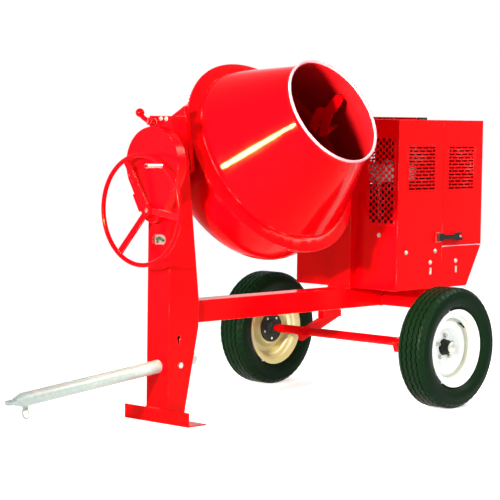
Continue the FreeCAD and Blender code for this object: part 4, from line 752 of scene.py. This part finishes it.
def make_fasteners():
    """Washer and hexagon head on every frame bolt."""
    washers = []
    heads = []
    for low, high in islands(NODES["frame_bolts"]):
        reach = high - low
        thin = min(range(3), key=lambda k: reach[k])
        if reach[thin] > 8 * MM or max(reach) > 20 * MM:
            continue
        axis = Vector((0, 0, 0))
        centre = (low + high) / 2
        outward = -1.0 if thin == 0 or centre[1] < 0 else 1.0
        axis[thin] = outward
        root = centre - axis * reach[thin] / 2
        washers.append(turned(root, axis, [(7 * MM, 0), (11 * MM, 0), (11 * MM, 1.4 * MM),
                                           (10.4 * MM, 1.9 * MM), (7 * MM, 1.9 * MM)]))
        top = reach[thin] + 0.8 * MM
        head = [(8.6 * MM, 1.9 * MM), (8.6 * MM, top - 1.2 * MM), (7.2 * MM, top)]
        heads.append(turned(root, axis, head, 6))
    new_piece("bolt_washers", washers, "chassis", "bare_steel")
    new_piece("bolt_heads", heads, "chassis", "bare_steel")


def make_latches():
    """Rubber pull latches: waisted strap, ribbed pull and the open eye over the stud."""
    for tag, side in (("near", -1), ("far", 1)):
        node = "latch_" + tag
        low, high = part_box(node)
        length = high[0] - low[0]
        inner, outer = (high[1], low[1]) if side < 0 else (low[1], high[1])
        z = (low[2] + high[2]) / 2
        half = (high[2] - low[2]) / 2
        eye = (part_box("latch_studs")[0][0] - low[0]) / length
        shape = [(0.0, 0.55), (0.02, 0.85), (0.06, 1.0), (0.14, 0.95), (0.24, 0.55), (0.60, 0.50),
                 (0.72, 0.72), (0.80, 1.0), (0.98, 1.0), (1.0, 0.85)]
        upper = [Vector((low[0] + t * length, inner, z + w * half)) for t, w in shape]
        lower = [Vector((low[0] + t * length, inner, z - w * half)) for t, w in reversed(shape)]
        start = low[0] + (eye - 0.012) * length
        gap_high = z + 13 * MM
        gap_low = z - 5.6 * MM
        notch = [Vector((high[0], inner, gap_low)), Vector((start, inner, gap_low)),
                 Vector((start, inner, gap_high)), Vector((high[0], inner, gap_high))]
        strap = upper + [notch[3], notch[2], notch[1], notch[0]] + lower
        ribs = []
        for t in (0.755, 0.785, 0.815):
            x = low[0] + t * length
            y = outer - side * 1 * MM
            rib = [Vector((x, y, z - 0.8 * half)), Vector((x, y, z + 0.8 * half))]
            ribs.append(tube(resample(rib, 6 * MM, False), lambda i: 1.8 * MM, False, 8))
        body = prism(strap, (0, outer - inner - side * 2 * MM, 0))
        piece = new_piece("pull_" + node, [body] + ribs, node, "latch_rubber", (node,))
        soften(piece, 2.0 * MM)


GREASE_CAP = [(23, 0), (24.5, 1), (24.5, 5), (20, 11), (9, 14), (3.5, 14.5), (3.5, 19), (1.5, 20)]
VALVE_STEM = [(5, -12), (5, 4), (3.6, 7), (3.6, 24), (4.4, 24.5), (4.4, 33), (3.2, 35)]


def millimetres(profile):
    return [(radius * MM, height * MM) for radius, height in profile]


def make_wheel_details():
    """Valve stem and grease cap on each wheel."""
    for tag, side in (("near", -1), ("far", 1)):
        centre = middle("rim_" + tag)
        out = Vector((0, side, 0))
        hub_low, hub_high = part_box("hub_" + tag)
        tip = hub_low[1] if side < 0 else hub_high[1]
        cap_root = Vector((centre.x, tip, centre.z)) - out * 3 * MM
        cap = turned(cap_root, out, millimetres(GREASE_CAP))
        new_piece("grease_cap_" + tag, [cap], "wheel_" + tag, "bare_steel")
        lean = math.radians(40)
        spot = centre + Vector((math.sin(lean), 0, math.cos(lean))) * 141 * MM
        inward = (centre - spot).normalized()
        stem_axis = (out + inward * 0.6).normalized()
        stem = turned(spot + out * 16 * MM, stem_axis, millimetres(VALVE_STEM), 20)
        new_piece("valve_stem_" + tag, [stem], "wheel_" + tag, "latch_rubber")


make_camera()
make_studio()
FINISHES = make_finishes()
finish_cad(FINISHES)
make_tyres()
make_welds()
make_louvre_lips()
make_trim()
make_fasteners()
make_latches()
make_wheel_details()
